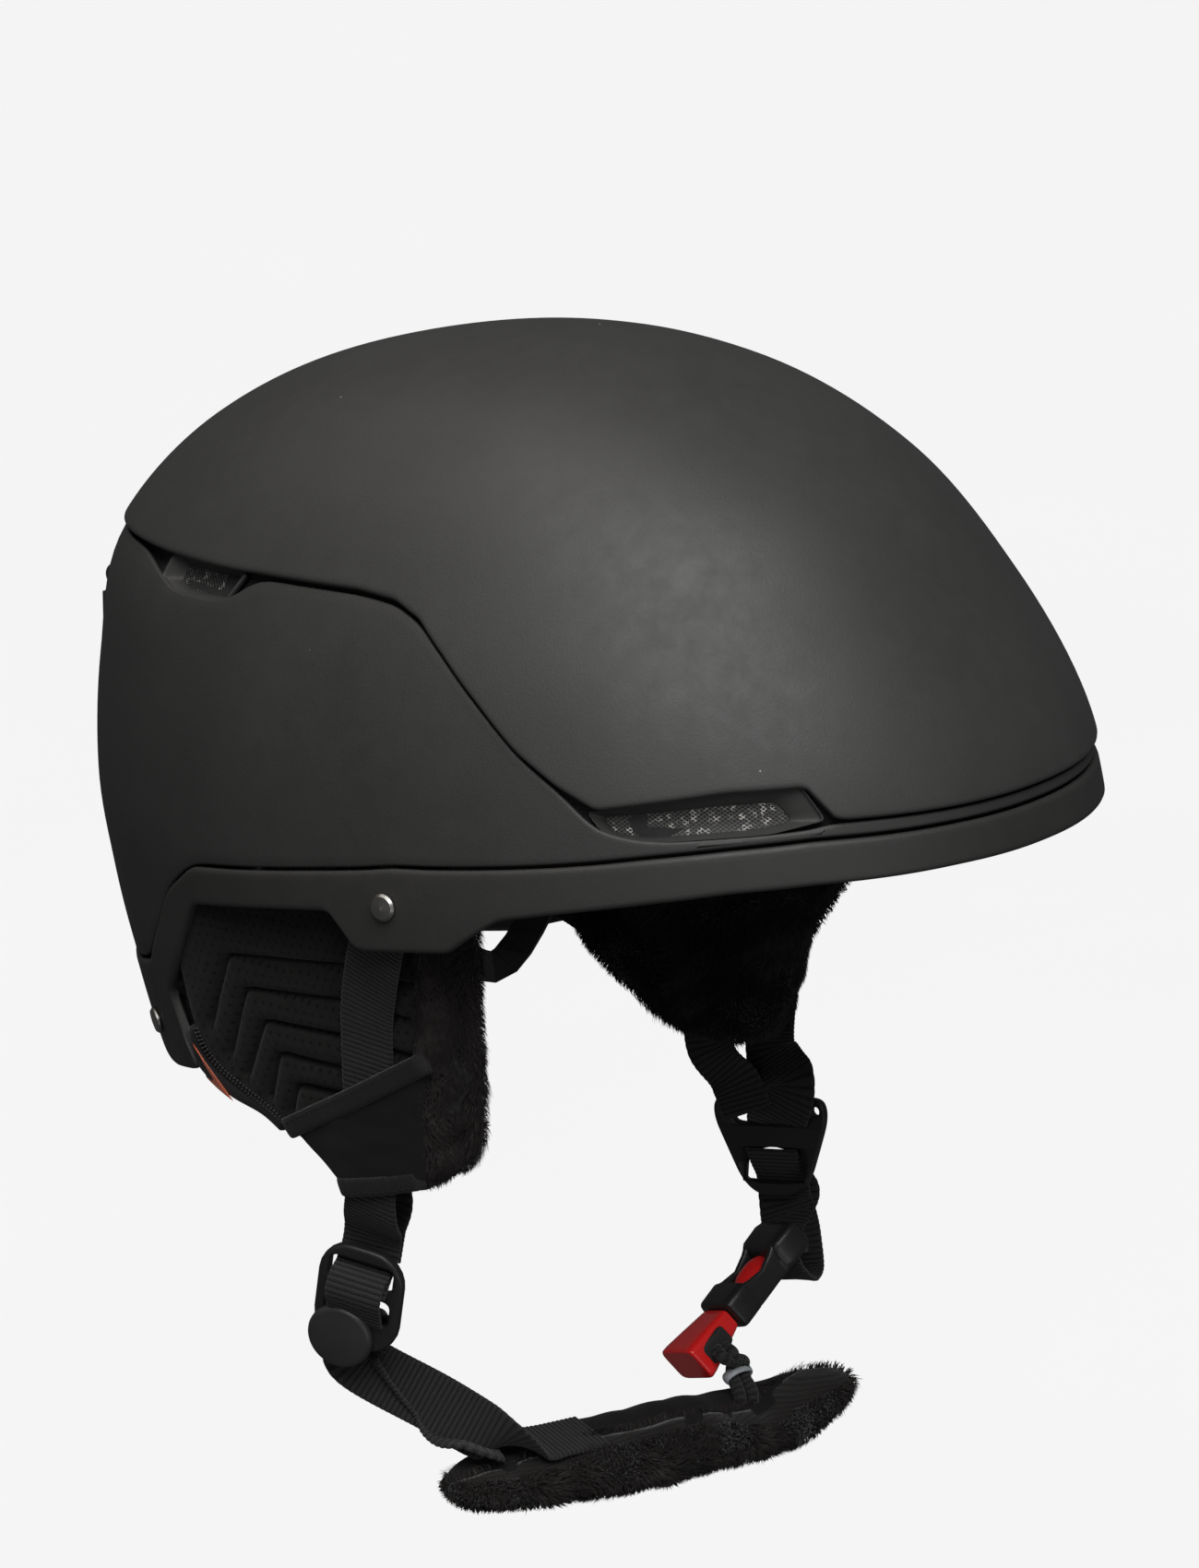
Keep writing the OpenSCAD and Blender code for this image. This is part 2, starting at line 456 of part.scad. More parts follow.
// The rear straps run forward from their rivets and down between the foam and the lining of the ear pads.
pad_gap = -(ear_foam + 0.5 + webbing / 2);
rear_run = unit(cross(rear_out, [0, 0, 1]));
rear_sink = 0.7; // the corner curves tighter there, so the webbing lies deeper
rear_start = [rear_stack(strap_inset + 1.8) - 7 * rear_run, rear_stack(strap_inset + rear_sink), rear_stack(strap_inset + 1.4) + 9 * rear_run];
rear_first = [cross(rear_out, rear_run), cross(rear_out, rear_run), in_pad(0.05, -1)];
function rear_inside(y) = [pad_point(49, -45.5, pad_gap), pad_point(40, -48, pad_gap), pad_point(26, -54, pad_gap),
    pad_point(y + 7, -67, pad_gap), pad_point(y, -82, pad_gap)];
rear_inside_across = [in_pad(0.1, -1), in_pad(0.3, -1), in_pad(0.6, -0.8), in_pad(0.9, -0.4), in_pad(1, 0)];
rear_route_left = concat(rear_start, rear_inside(-12), [at_left(-17, -6.5), at_left(-8, -5.6)]);
rear_route_right = concat(flips(rear_start), flips(rear_inside(-4)), [at_right(-17, -6.5), at_right(-8, -5.6)]);
module strap_rear_left() color("#131314")
    riveted_strap(rear_route_left, concat(rear_first, rear_inside_across, [left_across, left_across]), 24);
module strap_rear_right() color("#131314")
    riveted_strap(rear_route_right, concat(flips(concat(rear_first, rear_inside_across)), [right_across, right_across]), 24);

// ---- rivets ----
module rivet(p, out, sink = 0) translate(p) multmatrix(frame_of(out, [0, 0, 1])) {
    rotate_extrude() polygon([[0, 0], [rivet_head / 2, 0], [rivet_head / 2, 0.5], [rivet_head / 2 - 0.6, 1.1], [0, 1.5]]);
    translate([0, 0, -washer_inset - washer - sink]) cylinder(d = rivet_shank, h = washer_inset + washer + sink + 0.5);
}
module front_rivets() color("#8f8f8c") for (s = [0, 1]) mirror([s, 0, 0]) rivet(front_stack(-0.1), front_out);
module rear_rivets() color("#8f8f8c") for (s = [0, 1]) mirror([s, 0, 0]) rivet(rear_stack(-0.1), rear_out, rear_sink);
module rivet_washer(p, out) translate(p) multmatrix(frame_of(out, [0, 0, 1])) difference() {
    translate([0, 0, -washer]) cylinder(d = rivet_head + 2, h = washer);
    translate([0, 0, -2]) cylinder(d = rivet_shank + 0.1, h = 4);
}
module rivet_washers() color("#8f8f8c") for (s = [0, 1]) mirror([s, 0, 0]) {
    rivet_washer(front_stack(washer_inset), front_out);
    rivet_washer(rear_stack(washer_inset + rear_sink + 0.2), rear_out);
}

// ---- strap dividers ----
ring_wall = 2.6;
ring_width = webbing_width + 2 * ring_wall + 2.4;
module rounded_slab(w, h, r, thick) linear_extrude(thick) hull() for (x = [-1, 1]) for (y = [-1, 1])
    translate([x * (w / 2 - r), y * (h / 2 - r)]) circle(r, $fn = 24);
module divider_ring_right() color("#232323") translate(divider_right) multmatrix(right_frame)
    translate([0, 2, -1.6]) difference() {
        rounded_slab(ring_width, 30, 9, 3.2);
        for (y = [-7.5, 2.5]) translate([0, y, -1]) rounded_slab(webbing_width + 1.6, 7.2, 2, 6);
    }
module divider_cap_right() color("#2a2a2a") translate(divider_right) multmatrix(right_frame)
    translate([3, 13.5, 1.8]) rotate_extrude() polygon([[0, 0], [9, 0], [9, 1.6], [8.2, 2.6], [0, 3]]);
module divider_plate_left() color("#1e1e1e") translate(divider_left) multmatrix(left_frame)
    translate([0, 0, -1.5]) difference() {
        linear_extrude(3) hull() {
            for (x = [-1, 1]) translate([x * (ring_width / 2 - 0.6), -8]) circle(4, $fn = 24);
            for (x = [-1, 1]) translate([x * (webbing_width / 2 - 0.5), 12.5]) circle(4.5, $fn = 24);
        }
        for (s = [-1, 1]) translate([s * (ring_width / 2 - 0.4), -9, -1]) cylinder(d = 1.8, h = 6);
        translate([0, -3.7, -1]) rounded_slab(webbing_width + 1.6, 7.4, 2, 6);
        translate([0, 8, -1]) rounded_slab(webbing_width + 1.6, 9.5, 2.5, 6);
    }

// ---- buckle ----
// The buckle's frame: Z' is the way the insert pulls out, Y' the face with the window, X' across.
buckle_axis = unit([-0.821, 0.104, -0.561]);
buckle_frame = let (f = [-0.613, 0.441, 0.651], z = buckle_axis, y = unit(f - (f * z) * z), x = cross(y, z))
    [[x[0], y[0], z[0], 0], [x[1], y[1], z[1], 0], [x[2], y[2], z[2], 0]];
buckle_at = place([63, -18, -94]);
function buckle_point(p) = in_frame(buckle_frame, buckle_at, p);
module at_buckle() translate(buckle_at) multmatrix(buckle_frame) children();
bar_space = 8;
fit_gap = 0.3;
cavity_w = buckle_width - 2 * buckle_wall;
cavity_top = buckle_height / 2 - buckle_wall;
window_start = bar_space + 4;
window_length = 11;
module buckle_housing() color("#1c1c1d") at_buckle() difference() {
    translate([0, 0, buckle_length / 2]) hull() {
        cube([buckle_width, buckle_height - 3, buckle_length], center = true);
        cube([buckle_width - 3, buckle_height, buckle_length - 1.5], center = true);
    }
    // cavity for the insert, open at the mouth
    translate([-cavity_w / 2, -cavity_top, bar_space + 2]) cube([cavity_w, 2 * cavity_top, buckle_length]);
    // slot behind the bar that the webbing turns round
    translate([-webbing_width / 2 - 0.6, -buckle_height, 3]) cube([webbing_width + 1.2, 2 * buckle_height, bar_space - 3.6]);
    // window over the tongue, scooped into the face
    translate([-5, 0, window_start]) cube([10, buckle_height, window_length]);
    translate([0, buckle_height * 1.1, window_start + window_length / 2]) rotate([0, 90, 0])
        cylinder(r = buckle_height * 0.85, h = 15, center = true);
}
tongue_w = 7;
plate_h = 2.4;
eye_at = buckle_length + 10;
module buckle_insert() color("#b01217") at_buckle() {
    difference() {
        translate([0, 0, buckle_length + fit_gap + 8]) hull() {
            translate([0, 0, -7.4]) cube([buckle_width - 2, buckle_height, 1.2], center = true);
            translate([0, 0, 8]) cube([buckle_width - 3, buckle_height + 3, 1.2], center = true);
        }
        // eye that the cord passes through
        translate([-cord_width / 2 - 1, -buckle_height, eye_at - 2.6]) cube([cord_width + 2, 2 * buckle_height, 5.2]);
    }
    for (s = [-1, 1]) translate([s * (cavity_w / 2 - 2) - 1.6, -cavity_top + fit_gap, window_start + 1])
        cube([3.2, 2 * cavity_top - 2 * fit_gap, buckle_length - window_start]);
    translate([-tongue_w / 2, -cavity_top + fit_gap, buckle_length - 3]) cube([tongue_w, plate_h, 5]);
}
// Springy tongue whose head stands in the window and is pressed to free the insert.
tongue_travel = 1;
module buckle_tongue() color("#c4181c") at_buckle() {
    translate([-tongue_w / 2 + 0.5, -cavity_top + fit_gap + tongue_travel + 0.3, window_start + 0.8])
        cube([tongue_w - 1, plate_h - 0.8, buckle_length - 3.4 - window_start - 0.8]);
    translate([0, -cavity_top + fit_gap + tongue_travel + 1, window_start + window_length / 2])
        rotate([-90, 0, 0]) linear_extrude(2 * cavity_top - 2 * fit_gap - tongue_travel - 1) hull()
            for (y = [-1, 1]) translate([0, y * 2]) circle(d = 6.6, $fn = 32);
}

// ---- chin strap ----
chin_dir = unit([0.956, -0.292, -0.058]);
chin_centre = place([0, -17, -135.5]);
chin_back = unit(cross([0, 0, 1], chin_dir) + [0, 0, 0.2]);
// In the pad's frame X' runs along it to the left, Y' across it to the back and Z' up.
chin_frame = plate_frame(chin_back, cross(chin_dir, chin_back));
module at_chin() translate(chin_centre) multmatrix(chin_frame) children();
module pad_plan(shrink) {
    l = chin_pad_length / 2 - shrink;
    w = chin_pad_width / 2 - shrink;
    hull() for (s = [-1, 1]) {
        translate([s * (l - w * 0.8), 0]) circle(w * 0.8, $fn = 32);
        translate([s * l * 0.3, 0]) circle(w, $fn = 32);
    }
}
module chin_pad_cover() color("#161616") at_chin() translate([0, 0, 0.3])
    linear_extrude(chin_pad_height * 0.4) pad_plan(1);
module chin_pad_lining() color("#231e1d") at_chin() translate([0, 0, -chin_pad_height * 0.6])
    linear_extrude(chin_pad_height * 0.6) pad_plan(0);
sleeve_top = 0.3 + chin_pad_height * 0.4;
sleeve_start = -0.28 * chin_pad_length;
sleeve_end = 0.16 * chin_pad_length;
module chin_pad_sleeve() color("#141414") at_chin() translate([0, 0, sleeve_top + 0.2]) difference() {
    translate([sleeve_start, -webbing_width / 2 - 2.5, 0])
        cube([sleeve_end - sleeve_start, webbing_width + 5, webbing + 2.6]);
    translate([sleeve_start - 1, -webbing_width / 2 - 0.8, 0.7])
        cube([sleeve_end - sleeve_start + 2, webbing_width + 1.6, webbing + 1.2]);
}
function on_pad(s, up) = in_frame(chin_frame, chin_centre, [s * chin_pad_length, 0, sleeve_top + up]);
slot_mid = 0.9 + webbing / 2 + 0.6;
pad_across = [for (r = chin_frame) r[1]];
chin_route_right = [at_right(2.2, 2.9), at_right(4.6, 0.1), at_right(8.6, -3.1), at_right(16, -3.6),
    at_right(24, -4.5), mix(at_right(24, -4.5), on_pad(-0.4, 9), 0.5) + [3, 0, -3], on_pad(-0.4, 7),
    on_pad(-0.31, slot_mid + 0.4), on_pad(-0.25, slot_mid), on_pad(-0.16, slot_mid)];
chin_across_right = [right_across, right_across, right_across, right_across, [0.1, 1, 0], [0.2, 1, 0.3], pad_across,
    pad_across, pad_across, pad_across];
module chin_strap_right() color("#131314") ribbon(chin_route_right, chin_across_right, webbing_width, webbing, 30);
buckle_across = [for (r = buckle_frame) -r[0]];
chin_route_left = [at_left(2.8, -2.9), at_left(7.6, 0), at_left(12.5, 2.9), at_left(20, 3.2),
    at_left(28, 2), buckle_point([0, -buckle_height / 2 - 7, 8]), buckle_point([0, -buckle_height / 2 - 1.5, 5.2]),
    buckle_point([0, 0, 5.2]), buckle_point([0, 2, 5.2])];
chin_across_left = [left_across, left_across, left_across, left_across, [0.2, 1, 0], buckle_across, buckle_across,
    buckle_across, buckle_across];
module chin_strap_left() color("#131314") ribbon(chin_route_left, chin_across_left, webbing_width, webbing, 27);
cord_thick = 2.2;
cord_foot = on_pad(0.24, cord_thick / 2);
eye_across = [for (r = buckle_frame) r[0]];
cord_route = [buckle_point([0, buckle_height / 2 + 3, eye_at]), buckle_point([0, 0, eye_at]),
    buckle_point([0, -buckle_height / 2 - 2.5, eye_at + 0.4]), mix(buckle_point([0, -9, eye_at + 2]), cord_foot + [0, 1, 5], 0.5) + [1, -1, 1],
    cord_foot + [0, 1, 5]];
cord_across = [eye_across, eye_across, eye_across, [0.8, -0.3, 0], [1, -0.3, 0]];
module buckle_cord() color("#151515") ribbon(cord_route, cord_across, cord_width, cord_thick, 20);
keeper_t = 0.73;
keeper_dir = unit(spline_at(cord_route, keeper_t + 0.02) - spline_at(cord_route, keeper_t - 0.02));
module cord_keeper() color("#b9bcbd", 0.7) translate(spline_at(cord_route, keeper_t))
    multmatrix(frame_of(keeper_dir, spline_at(cord_across, keeper_t))) translate([0, 0, -1.1]) difference() {
        rounded_slab(cord_width + 4, cord_thick + 4.4, 2.2, 2.2);
        translate([0, 0, -1]) rounded_slab(cord_width + 1.6, cord_thick + 2.2, 0.8, 6);
    }

// ---- goggle clip at the back ----
clip_mid = 62 * crown_height / base_height;
hinge_z = clip_mid + clip_height / 2;
clip_face = wall_at(180, hinge_z, lower_face)[1] + 3.3;
hinge_y = clip_face + 4;
stud_foot = wall_at(180, hinge_z - clip_height, lower_face)[1] + 0.4;
knuckle = 6.4;
module goggle_clip_base() color("#1f1f1f") difference() {
    union() {
        translate([-clip_width / 2, clip_face - 2.6, hinge_z - 6]) cube([clip_width, 3, 12]);
        for (s = [-1, 1]) translate([s * (clip_width / 2 - 3.5) - 3.5, hinge_y, hinge_z]) rotate([0, 90, 0]) cylinder(d = knuckle, h = 7);
        for (s = [-1, 1]) translate([s * (clip_width / 2 - 3.5) - 3.5, clip_face - 1, hinge_z - knuckle / 2]) cube([7, 5, knuckle]);
    }
    translate([-clip_width, hinge_y, hinge_z]) rotate([0, 90, 0]) cylinder(d = clip_pin, h = 2 * clip_width);
}
module goggle_clip_pin() color("silver") translate([-clip_width / 2, hinge_y, hinge_z]) rotate([0, 90, 0])
    cylinder(d = clip_pin - 0.08, h = clip_width);
module goggle_clip_flap() color("#191919") difference() {
    union() {
        translate([-clip_width / 2 + 7.4, hinge_y, hinge_z]) rotate([0, 90, 0]) cylinder(d = knuckle, h = clip_width - 14.8);
        translate([-clip_width / 2 + 7.4, hinge_y + 0.2, hinge_z - 6]) cube([clip_width - 14.8, 3, 6]);
        translate([-clip_width / 2, clip_face + strap_gap, hinge_z - clip_height - 5]) cube([clip_width, 2.4, clip_height]);
        translate([-clip_width / 2 + 7.4, hinge_y + 0.2, hinge_z - 8]) cube([clip_width - 14.8, clip_face + strap_gap + 2.4 - hinge_y - 0.2, 3.2]);
    }
    translate([-clip_width, hinge_y, hinge_z]) rotate([0, 90, 0]) cylinder(d = clip_pin + 0.08, h = 2 * clip_width);
    translate([0, clip_face, hinge_z - clip_height]) rotate([-90, 0, 0]) cylinder(d = 8.6, h = 30);
}
module goggle_clip_stud() color("#8f8f8c") translate([0, stud_foot, hinge_z - clip_height]) rotate([-90, 0, 0])
    cylinder(d = 7.6, h = clip_face + strap_gap + 3.4 - stud_foot);

top_shell();
lower_shell();
rim_band();
foam_liner();
foam_crown();
front_vent_mesh();
rear_vent_mesh();
crown_pad();
brow_pad();
side_pads();
nape_pad();
fit_cradle();
fit_housing();
fit_housing_cover();
fit_dial();
dial_screw();
fit_rack_left();
fit_rack_right();
ear_pad_right();
ear_pad_left();
ear_lining_right();
ear_lining_left();
ear_pocket_right();
ear_pocket_left();
pocket_binding_right();
pocket_binding_left();
ear_tab_right();
ear_tab_left();
ear_clips();
strap_front_right();
strap_front_left();
strap_rear_right();
strap_rear_left();
front_rivets();
rear_rivets();
rivet_washers();
divider_ring_right();
divider_cap_right();
divider_plate_left();
chin_strap_right();
chin_strap_left();
chin_pad_cover();
chin_pad_lining();
chin_pad_sleeve();
buckle_housing();
buckle_insert();
buckle_tongue();
buckle_cord();
cord_keeper();
goggle_clip_base();
goggle_clip_flap();
goggle_clip_pin();
goggle_clip_stud();
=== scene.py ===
import bpy, bmesh, math
import numpy as np
from mathutils import Matrix, Vector


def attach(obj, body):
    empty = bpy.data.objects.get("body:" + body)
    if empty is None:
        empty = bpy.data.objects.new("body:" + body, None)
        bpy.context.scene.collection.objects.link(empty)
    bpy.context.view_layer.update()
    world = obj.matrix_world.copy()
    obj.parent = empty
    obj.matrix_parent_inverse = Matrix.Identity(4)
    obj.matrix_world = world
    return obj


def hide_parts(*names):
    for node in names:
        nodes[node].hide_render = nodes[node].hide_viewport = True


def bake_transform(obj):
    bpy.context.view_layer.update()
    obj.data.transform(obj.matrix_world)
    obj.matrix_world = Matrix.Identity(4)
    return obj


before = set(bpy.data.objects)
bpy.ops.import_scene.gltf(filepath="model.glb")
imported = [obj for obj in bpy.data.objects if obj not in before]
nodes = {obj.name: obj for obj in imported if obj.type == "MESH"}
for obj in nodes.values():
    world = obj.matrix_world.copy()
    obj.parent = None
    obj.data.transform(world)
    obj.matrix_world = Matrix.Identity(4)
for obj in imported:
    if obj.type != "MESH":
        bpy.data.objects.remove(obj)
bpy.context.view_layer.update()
print("frame loaded")

# shape of the shell: the same surface as the part's
shell = {"front": [116, 131, 141, 143, 140, 132, 113, 86, 47, 0],
         "rear": [102, 119, 130, 137, 142, 142, 138, 110, 65, 0],
         "side": [92, 101, 106, 107, 106.5, 102, 91, 71, 43, 0],
         "levels": [-60, -30, 0, 22, 45, 75, 105, 135, 156, 166],
         "planPower": 2.15, "crownShift": 2.0, "crown": 166.0}


def paddedEnds(values, last):
    v = np.asarray(values, float)
    return np.concatenate([[2 * v[0] - v[1]], v, [last]])


def catmull(e, t):
    n = len(e) - 3
    x = np.clip(np.asarray(t, float) * n, 0, n - 1e-9)
    i = x.astype(int)
    u = x - i
    a, b, c, d = e[i], e[i + 1], e[i + 2], e[i + 3]
    return 0.5 * (2 * b + (c - a) * u + (2 * a - 5 * b + 4 * c - d) * u * u
                  + (3 * b - a - 3 * c + d) * u ** 3)


levelCurve = paddedEnds(shell["levels"], shell["levels"][-2])
frontCurve = paddedEnds(shell["front"], -shell["front"][-2])
rearCurve = paddedEnds(shell["rear"], -shell["rear"][-2])
sideCurve = paddedEnds(shell["side"], -shell["side"][-2])
tTable = np.linspace(0, 1, 4001)
zTable = catmull(levelCurve, tTable)


def skin(angle, t):
    a = np.radians(angle)
    ca, sa = np.cos(a), np.sin(a)
    ahead = np.maximum(np.where(ca >= 0, catmull(frontCurve, t), catmull(rearCurve, t)), 0.001)
    aside = np.maximum(catmull(sideCurve, t), 0.001)
    p = shell["planPower"]
    r = ((np.abs(ca) / ahead) ** p + (np.abs(sa) / aside) ** p) ** (-1 / p)
    z = catmull(levelCurve, t)
    y = shell["crownShift"] * np.sin(np.radians(90 * np.clip(z / shell["crown"], 0, 1))) - r * ca
    return np.stack([r * sa, y, z + 0 * r], -1)


def wallAt(angle, z, inset):
    # points inset inside the shell's surface, in millimetres
    angle, z, inset = np.broadcast_arrays(np.asarray(angle, float), np.asarray(z, float),
                                          np.asarray(inset, float))
    t = np.minimum(np.interp(z, zTable, tTable), 0.992)
    n = np.cross(skin(angle + 0.4, t) - skin(angle - 0.4, t),
                 skin(angle, np.minimum(t + 0.004, 0.999)) - skin(angle, t - 0.004))
    n /= np.linalg.norm(n, axis=-1, keepdims=True)
    return skin(angle, t) - inset[..., None] * n


panelEdge = [(0, 66), (14, 66), (28, 66), (31, 74), (40, 73), (49, 70), (55, 68), (60, 73), (65.5, 80),
             (71.5, 90),
             (78, 100), (83.5, 107.5), (89, 111), (97, 112), (109, 111.5), (118, 111), (123, 110.5),
             (134, 110),
             (138, 109.8), (146, 109.5), (155, 109), (163, 108.5), (171.5, 108), (180, 108)]
lowerTop = [(0, 65.5), (14, 65.5), (28, 65.5), (31, 64), (40, 62.5), (49, 61), (55, 63), (60, 72),
            (65.5, 79.2),
            (71.5, 89.2), (78, 99.2), (83.5, 106.7), (89, 110.2), (97, 111.2), (109, 110.7), (118, 110.2),
            (123, 103),
            (134, 102), (138, 104), (146, 108.4), (155, 108), (163, 107.6), (171.5, 107.2), (180, 107.2)]
bandTop = [(0, 62), (14, 62), (28, 61.5), (31, 61.3), (40, 59.5), (49, 57), (55, 55), (60, 53.5),
           (65.5, 52),
           (71.5, 50.5), (78, 49), (83.5, 48), (89, 46), (97, 43.5), (103, 41.5), (112, 38.5), (120, 36),
           (126, 27),
           (129.5, 16), (135, 3), (144, -2), (156, -3), (168, -3), (180, -3)]
rimEdge = [(0, 52), (14, 52), (28, 51), (31, 50.7), (40, 49), (49, 46), (55, 43.8), (61, 41.5),
           (68, 38.5), (72, 33),
           (75, 28.5), (81, 27), (89.5, 25), (94, 34), (103, 31.4), (112, 28.5), (120.5, 25.5), (125.5, 9),
           (130.5, -4), (126, -22.6), (137, -27.5), (150, -27), (165, -26.5), (180, -26)]


def roundedOutline(points, perStep=18, window=5, passes=2):
    # a dense copy of an outline right round the helmet, its corners softened
    p = np.array(points, float)
    u = np.linspace(0, len(p) - 1, (len(p) - 1) * perStep + 1)
    half = np.stack([np.interp(u, np.arange(len(p)), p[:, k]) for k in (0, 1)], -1)
    full = np.concatenate([half, (half * [-1, 1] + [360, 0])[::-1][1:-1]])
    for _ in range(passes):
        step = np.diff(full[:, 0], append=full[0, 0] + 360)
        step = (step + 540) % 360 - 180
        rows = [np.roll(full, k, axis=0) for k in range(-window, window + 1)]
        rows = [np.stack([(r[:, 0] - full[:, 0] + 540) % 360 - 180 + full[:, 0], r[:, 1]],
                         -1) for r in rows]
        full = np.mean(rows, axis=0)
    return full


# mesh helpers
def newObject(name, mesh):
    obj = bpy.data.objects.new(name, mesh)
    bpy.context.scene.collection.objects.link(obj)
    return obj


def surfaceObject(name, points, material, closedRows=False, closedCols=False, uv=None, capStart=None,
                  capEnd=None, smooth=True):
    # a flat grid shaped onto a table of points in millimetres, its seams and poles then joined
    p = np.asarray(points, float)
    u = None if uv is None else np.asarray(uv, float)
    if closedCols:
        p = np.concatenate([p, p[:, :1]], 1)
        u = None if u is None else np.concatenate([u, u[:, :1]], 1)
    if closedRows:
        p = np.concatenate([p, p[:1]], 0)
        u = None if u is None else np.concatenate([u, u[:1]], 0)
    if capStart is not None:
        p = np.concatenate([np.broadcast_to(np.asarray(capStart, float), p[:1].shape), p], 0)
        u = None if u is None else np.concatenate([u[:1], u], 0)
    if capEnd is not None:
        p = np.concatenate([p, np.broadcast_to(np.asarray(capEnd, float), p[:1].shape)], 0)
        u = None if u is None else np.concatenate([u, u[-1:]], 0)
    bm = bmesh.new()
    bmesh.ops.create_grid(bm, x_segments=p.shape[1] - 1, y_segments=p.shape[0] - 1, size=1.0)
    mesh = bpy.data.meshes.new(name)
    bm.to_mesh(mesh)
    bm.free()
    mesh.vertices.foreach_set("co", (p / 1000).astype(np.float32).ravel())
    if u is not None:
        layer = mesh.uv_layers.new(name="weave")
        loops = np.empty(len(mesh.loops), dtype=np.int32)
        mesh.loops.foreach_get("vertex_index", loops)
        layer.data.foreach_set("uv", u.reshape(-1, 2)[loops].astype(np.float32).ravel())
    obj = newObject(name, mesh)
    finishMesh(obj, material, smooth, merge=2e-7)
    return obj


def finishMesh(obj, material, smooth=True, merge=None):
    bm = bmesh.new()
    bm.from_mesh(obj.data)
    if merge:
        bmesh.ops.remove_doubles(bm, verts=bm.verts, dist=merge)
    bmesh.ops.recalc_face_normals(bm, faces=bm.faces)
    bm.to_mesh(obj.data)
    bm.free()
    obj.data.materials.clear()
    obj.data.materials.append(material)
    if smooth:
        obj.data.shade_smooth()


def addModifier(obj, kind, **settings):
    m = obj.modifiers.new(kind.title(), kind)
    for k, v in settings.items():
        setattr(m, k, v)
    return m


def subdivided(obj, levels=1):
    return addModifier(obj, "SUBSURF", levels=levels, render_levels=levels)


# materials
def startMaterial(name):
    mat = bpy.data.materials.new(name)
    mat.use_nodes = True
    tree = mat.node_tree
    tree.nodes.clear()
    out = tree.nodes.new("ShaderNodeOutputMaterial")
    bsdf = tree.nodes.new("ShaderNodeBsdfPrincipled")
    tree.links.new(bsdf.outputs[0], out.inputs[0])
    return mat, tree, bsdf


def node(tree, kind, **settings):
    n = tree.nodes.new(kind)
    for k, v in settings.items():
        if k in n.inputs:
            n.inputs[k].default_value = v
        else:
            setattr(n, k, v)
    return n


def link(tree, a, b):
    tree.links.new(a, b)


def objectCoords(tree):
    return tree.nodes.new("ShaderNodeTexCoord").outputs["Object"]


def math2(tree, op, a, b=None, clamp=False):
    n = tree.nodes.new("ShaderNodeMath")
    n.operation, n.use_clamp = op, clamp
    for i, v in enumerate((a, b)):
        if v is None:
            continue
        if isinstance(v, (int, float)):
            n.inputs[i].default_value = v
        else:
            tree.links.new(v, n.inputs[i])
    return n.outputs[0]


def noiseTexture(tree, coords, scale, detail=3, rough=0.6, distortion=0.0):
    n = node(tree, "ShaderNodeTexNoise", Scale=scale, Detail=detail, Roughness=rough, Distortion=distortion)
    link(tree, coords, n.inputs["Vector"])
    return n.outputs["Fac"]


def ramp(tree, fac, stops):
    n = tree.nodes.new("ShaderNodeValToRGB")
    n.color_ramp.elements[0].position, n.color_ramp.elements[0].color = stops[0][0], (*stops[0][1], 1)
    n.color_ramp.elements[1].position, n.color_ramp.elements[1].color = stops[-1][0], (*stops[-1][1], 1)
    for pos, col in stops[1:-1]:
        e = n.color_ramp.elements.new(pos)
        e.color = (*col, 1)
    link(tree, fac, n.inputs[0])
    return n.outputs[0]


def mapRange(tree, value, lo, hi, toLo, toHi):
    n = node(tree, "ShaderNodeMapRange")
    link(tree, value, n.inputs["Value"])
    for k, v in (("From Min", lo), ("From Max", hi), ("To Min", toLo), ("To Max", toHi)):
        n.inputs[k].default_value = v
    return n.outputs[0]


def bump(tree, height, strength, distance, normal=None):
    n = node(tree, "ShaderNodeBump", Strength=strength, Distance=distance)
    link(tree, height, n.inputs["Height"])
    if normal is not None:
        link(tree, normal, n.inputs["Normal"])
    return n.outputs[0]


def scaled(c, k):
    return tuple(v * k for v in c)


def moulded(name, colour, rough=0.5, grain=0.06, grainScale=1400, dust=0.0, coat=0.0, specular=0.5,
            mottling=0.12):
    # moulded plastic: fine grain, faint mottling, scuffs in the gloss and a little pale dust
    mat, tree, bsdf = startMaterial(name)
    co = objectCoords(tree)
    broad = noiseTexture(tree, co, 22, 4)
    colourOut = ramp(tree, broad, [(0.25, scaled(colour, 1 - mottling)),
                                   (0.75, scaled(colour, 1 + mottling))])
    if dust:
        v = node(tree, "ShaderNodeTexVoronoi", Scale=85.0)
        link(tree, co, v.inputs["Vector"])
        speck = mapRange(tree, v.outputs["Distance"], 0.035, 0.02, 0, 1)
        sparse = mapRange(tree, noiseTexture(tree, co, 60, 1), 0.56, 0.64, 0, dust)
        fac = math2(tree, "MULTIPLY", speck, sparse, clamp=True)
        m = node(tree, "ShaderNodeMix", data_type="RGBA")
        link(tree, fac, m.inputs[0])
        link(tree, colourOut, m.inputs[6])
        m.inputs[7].default_value = (0.45, 0.43, 0.40, 1)
        colourOut = m.outputs[2]
    link(tree, colourOut, bsdf.inputs["Base Color"])
    scuff = noiseTexture(tree, co, 140, 5, 0.7, 0.4)
    link(tree, mapRange(tree, scuff, 0.3, 0.75, rough - 0.06, rough + 0.08), bsdf.inputs["Roughness"])
    fine = noiseTexture(tree, co, grainScale, 2, 0.5)
    link(tree, bump(tree, fine, grain, 0.0006), bsdf.inputs["Normal"])
    bsdf.inputs["Specular IOR Level"].default_value = specular
    if coat:
        bsdf.inputs["Coat Weight"].default_value = coat
        bsdf.inputs["Coat Roughness"].default_value = 0.12
    return mat


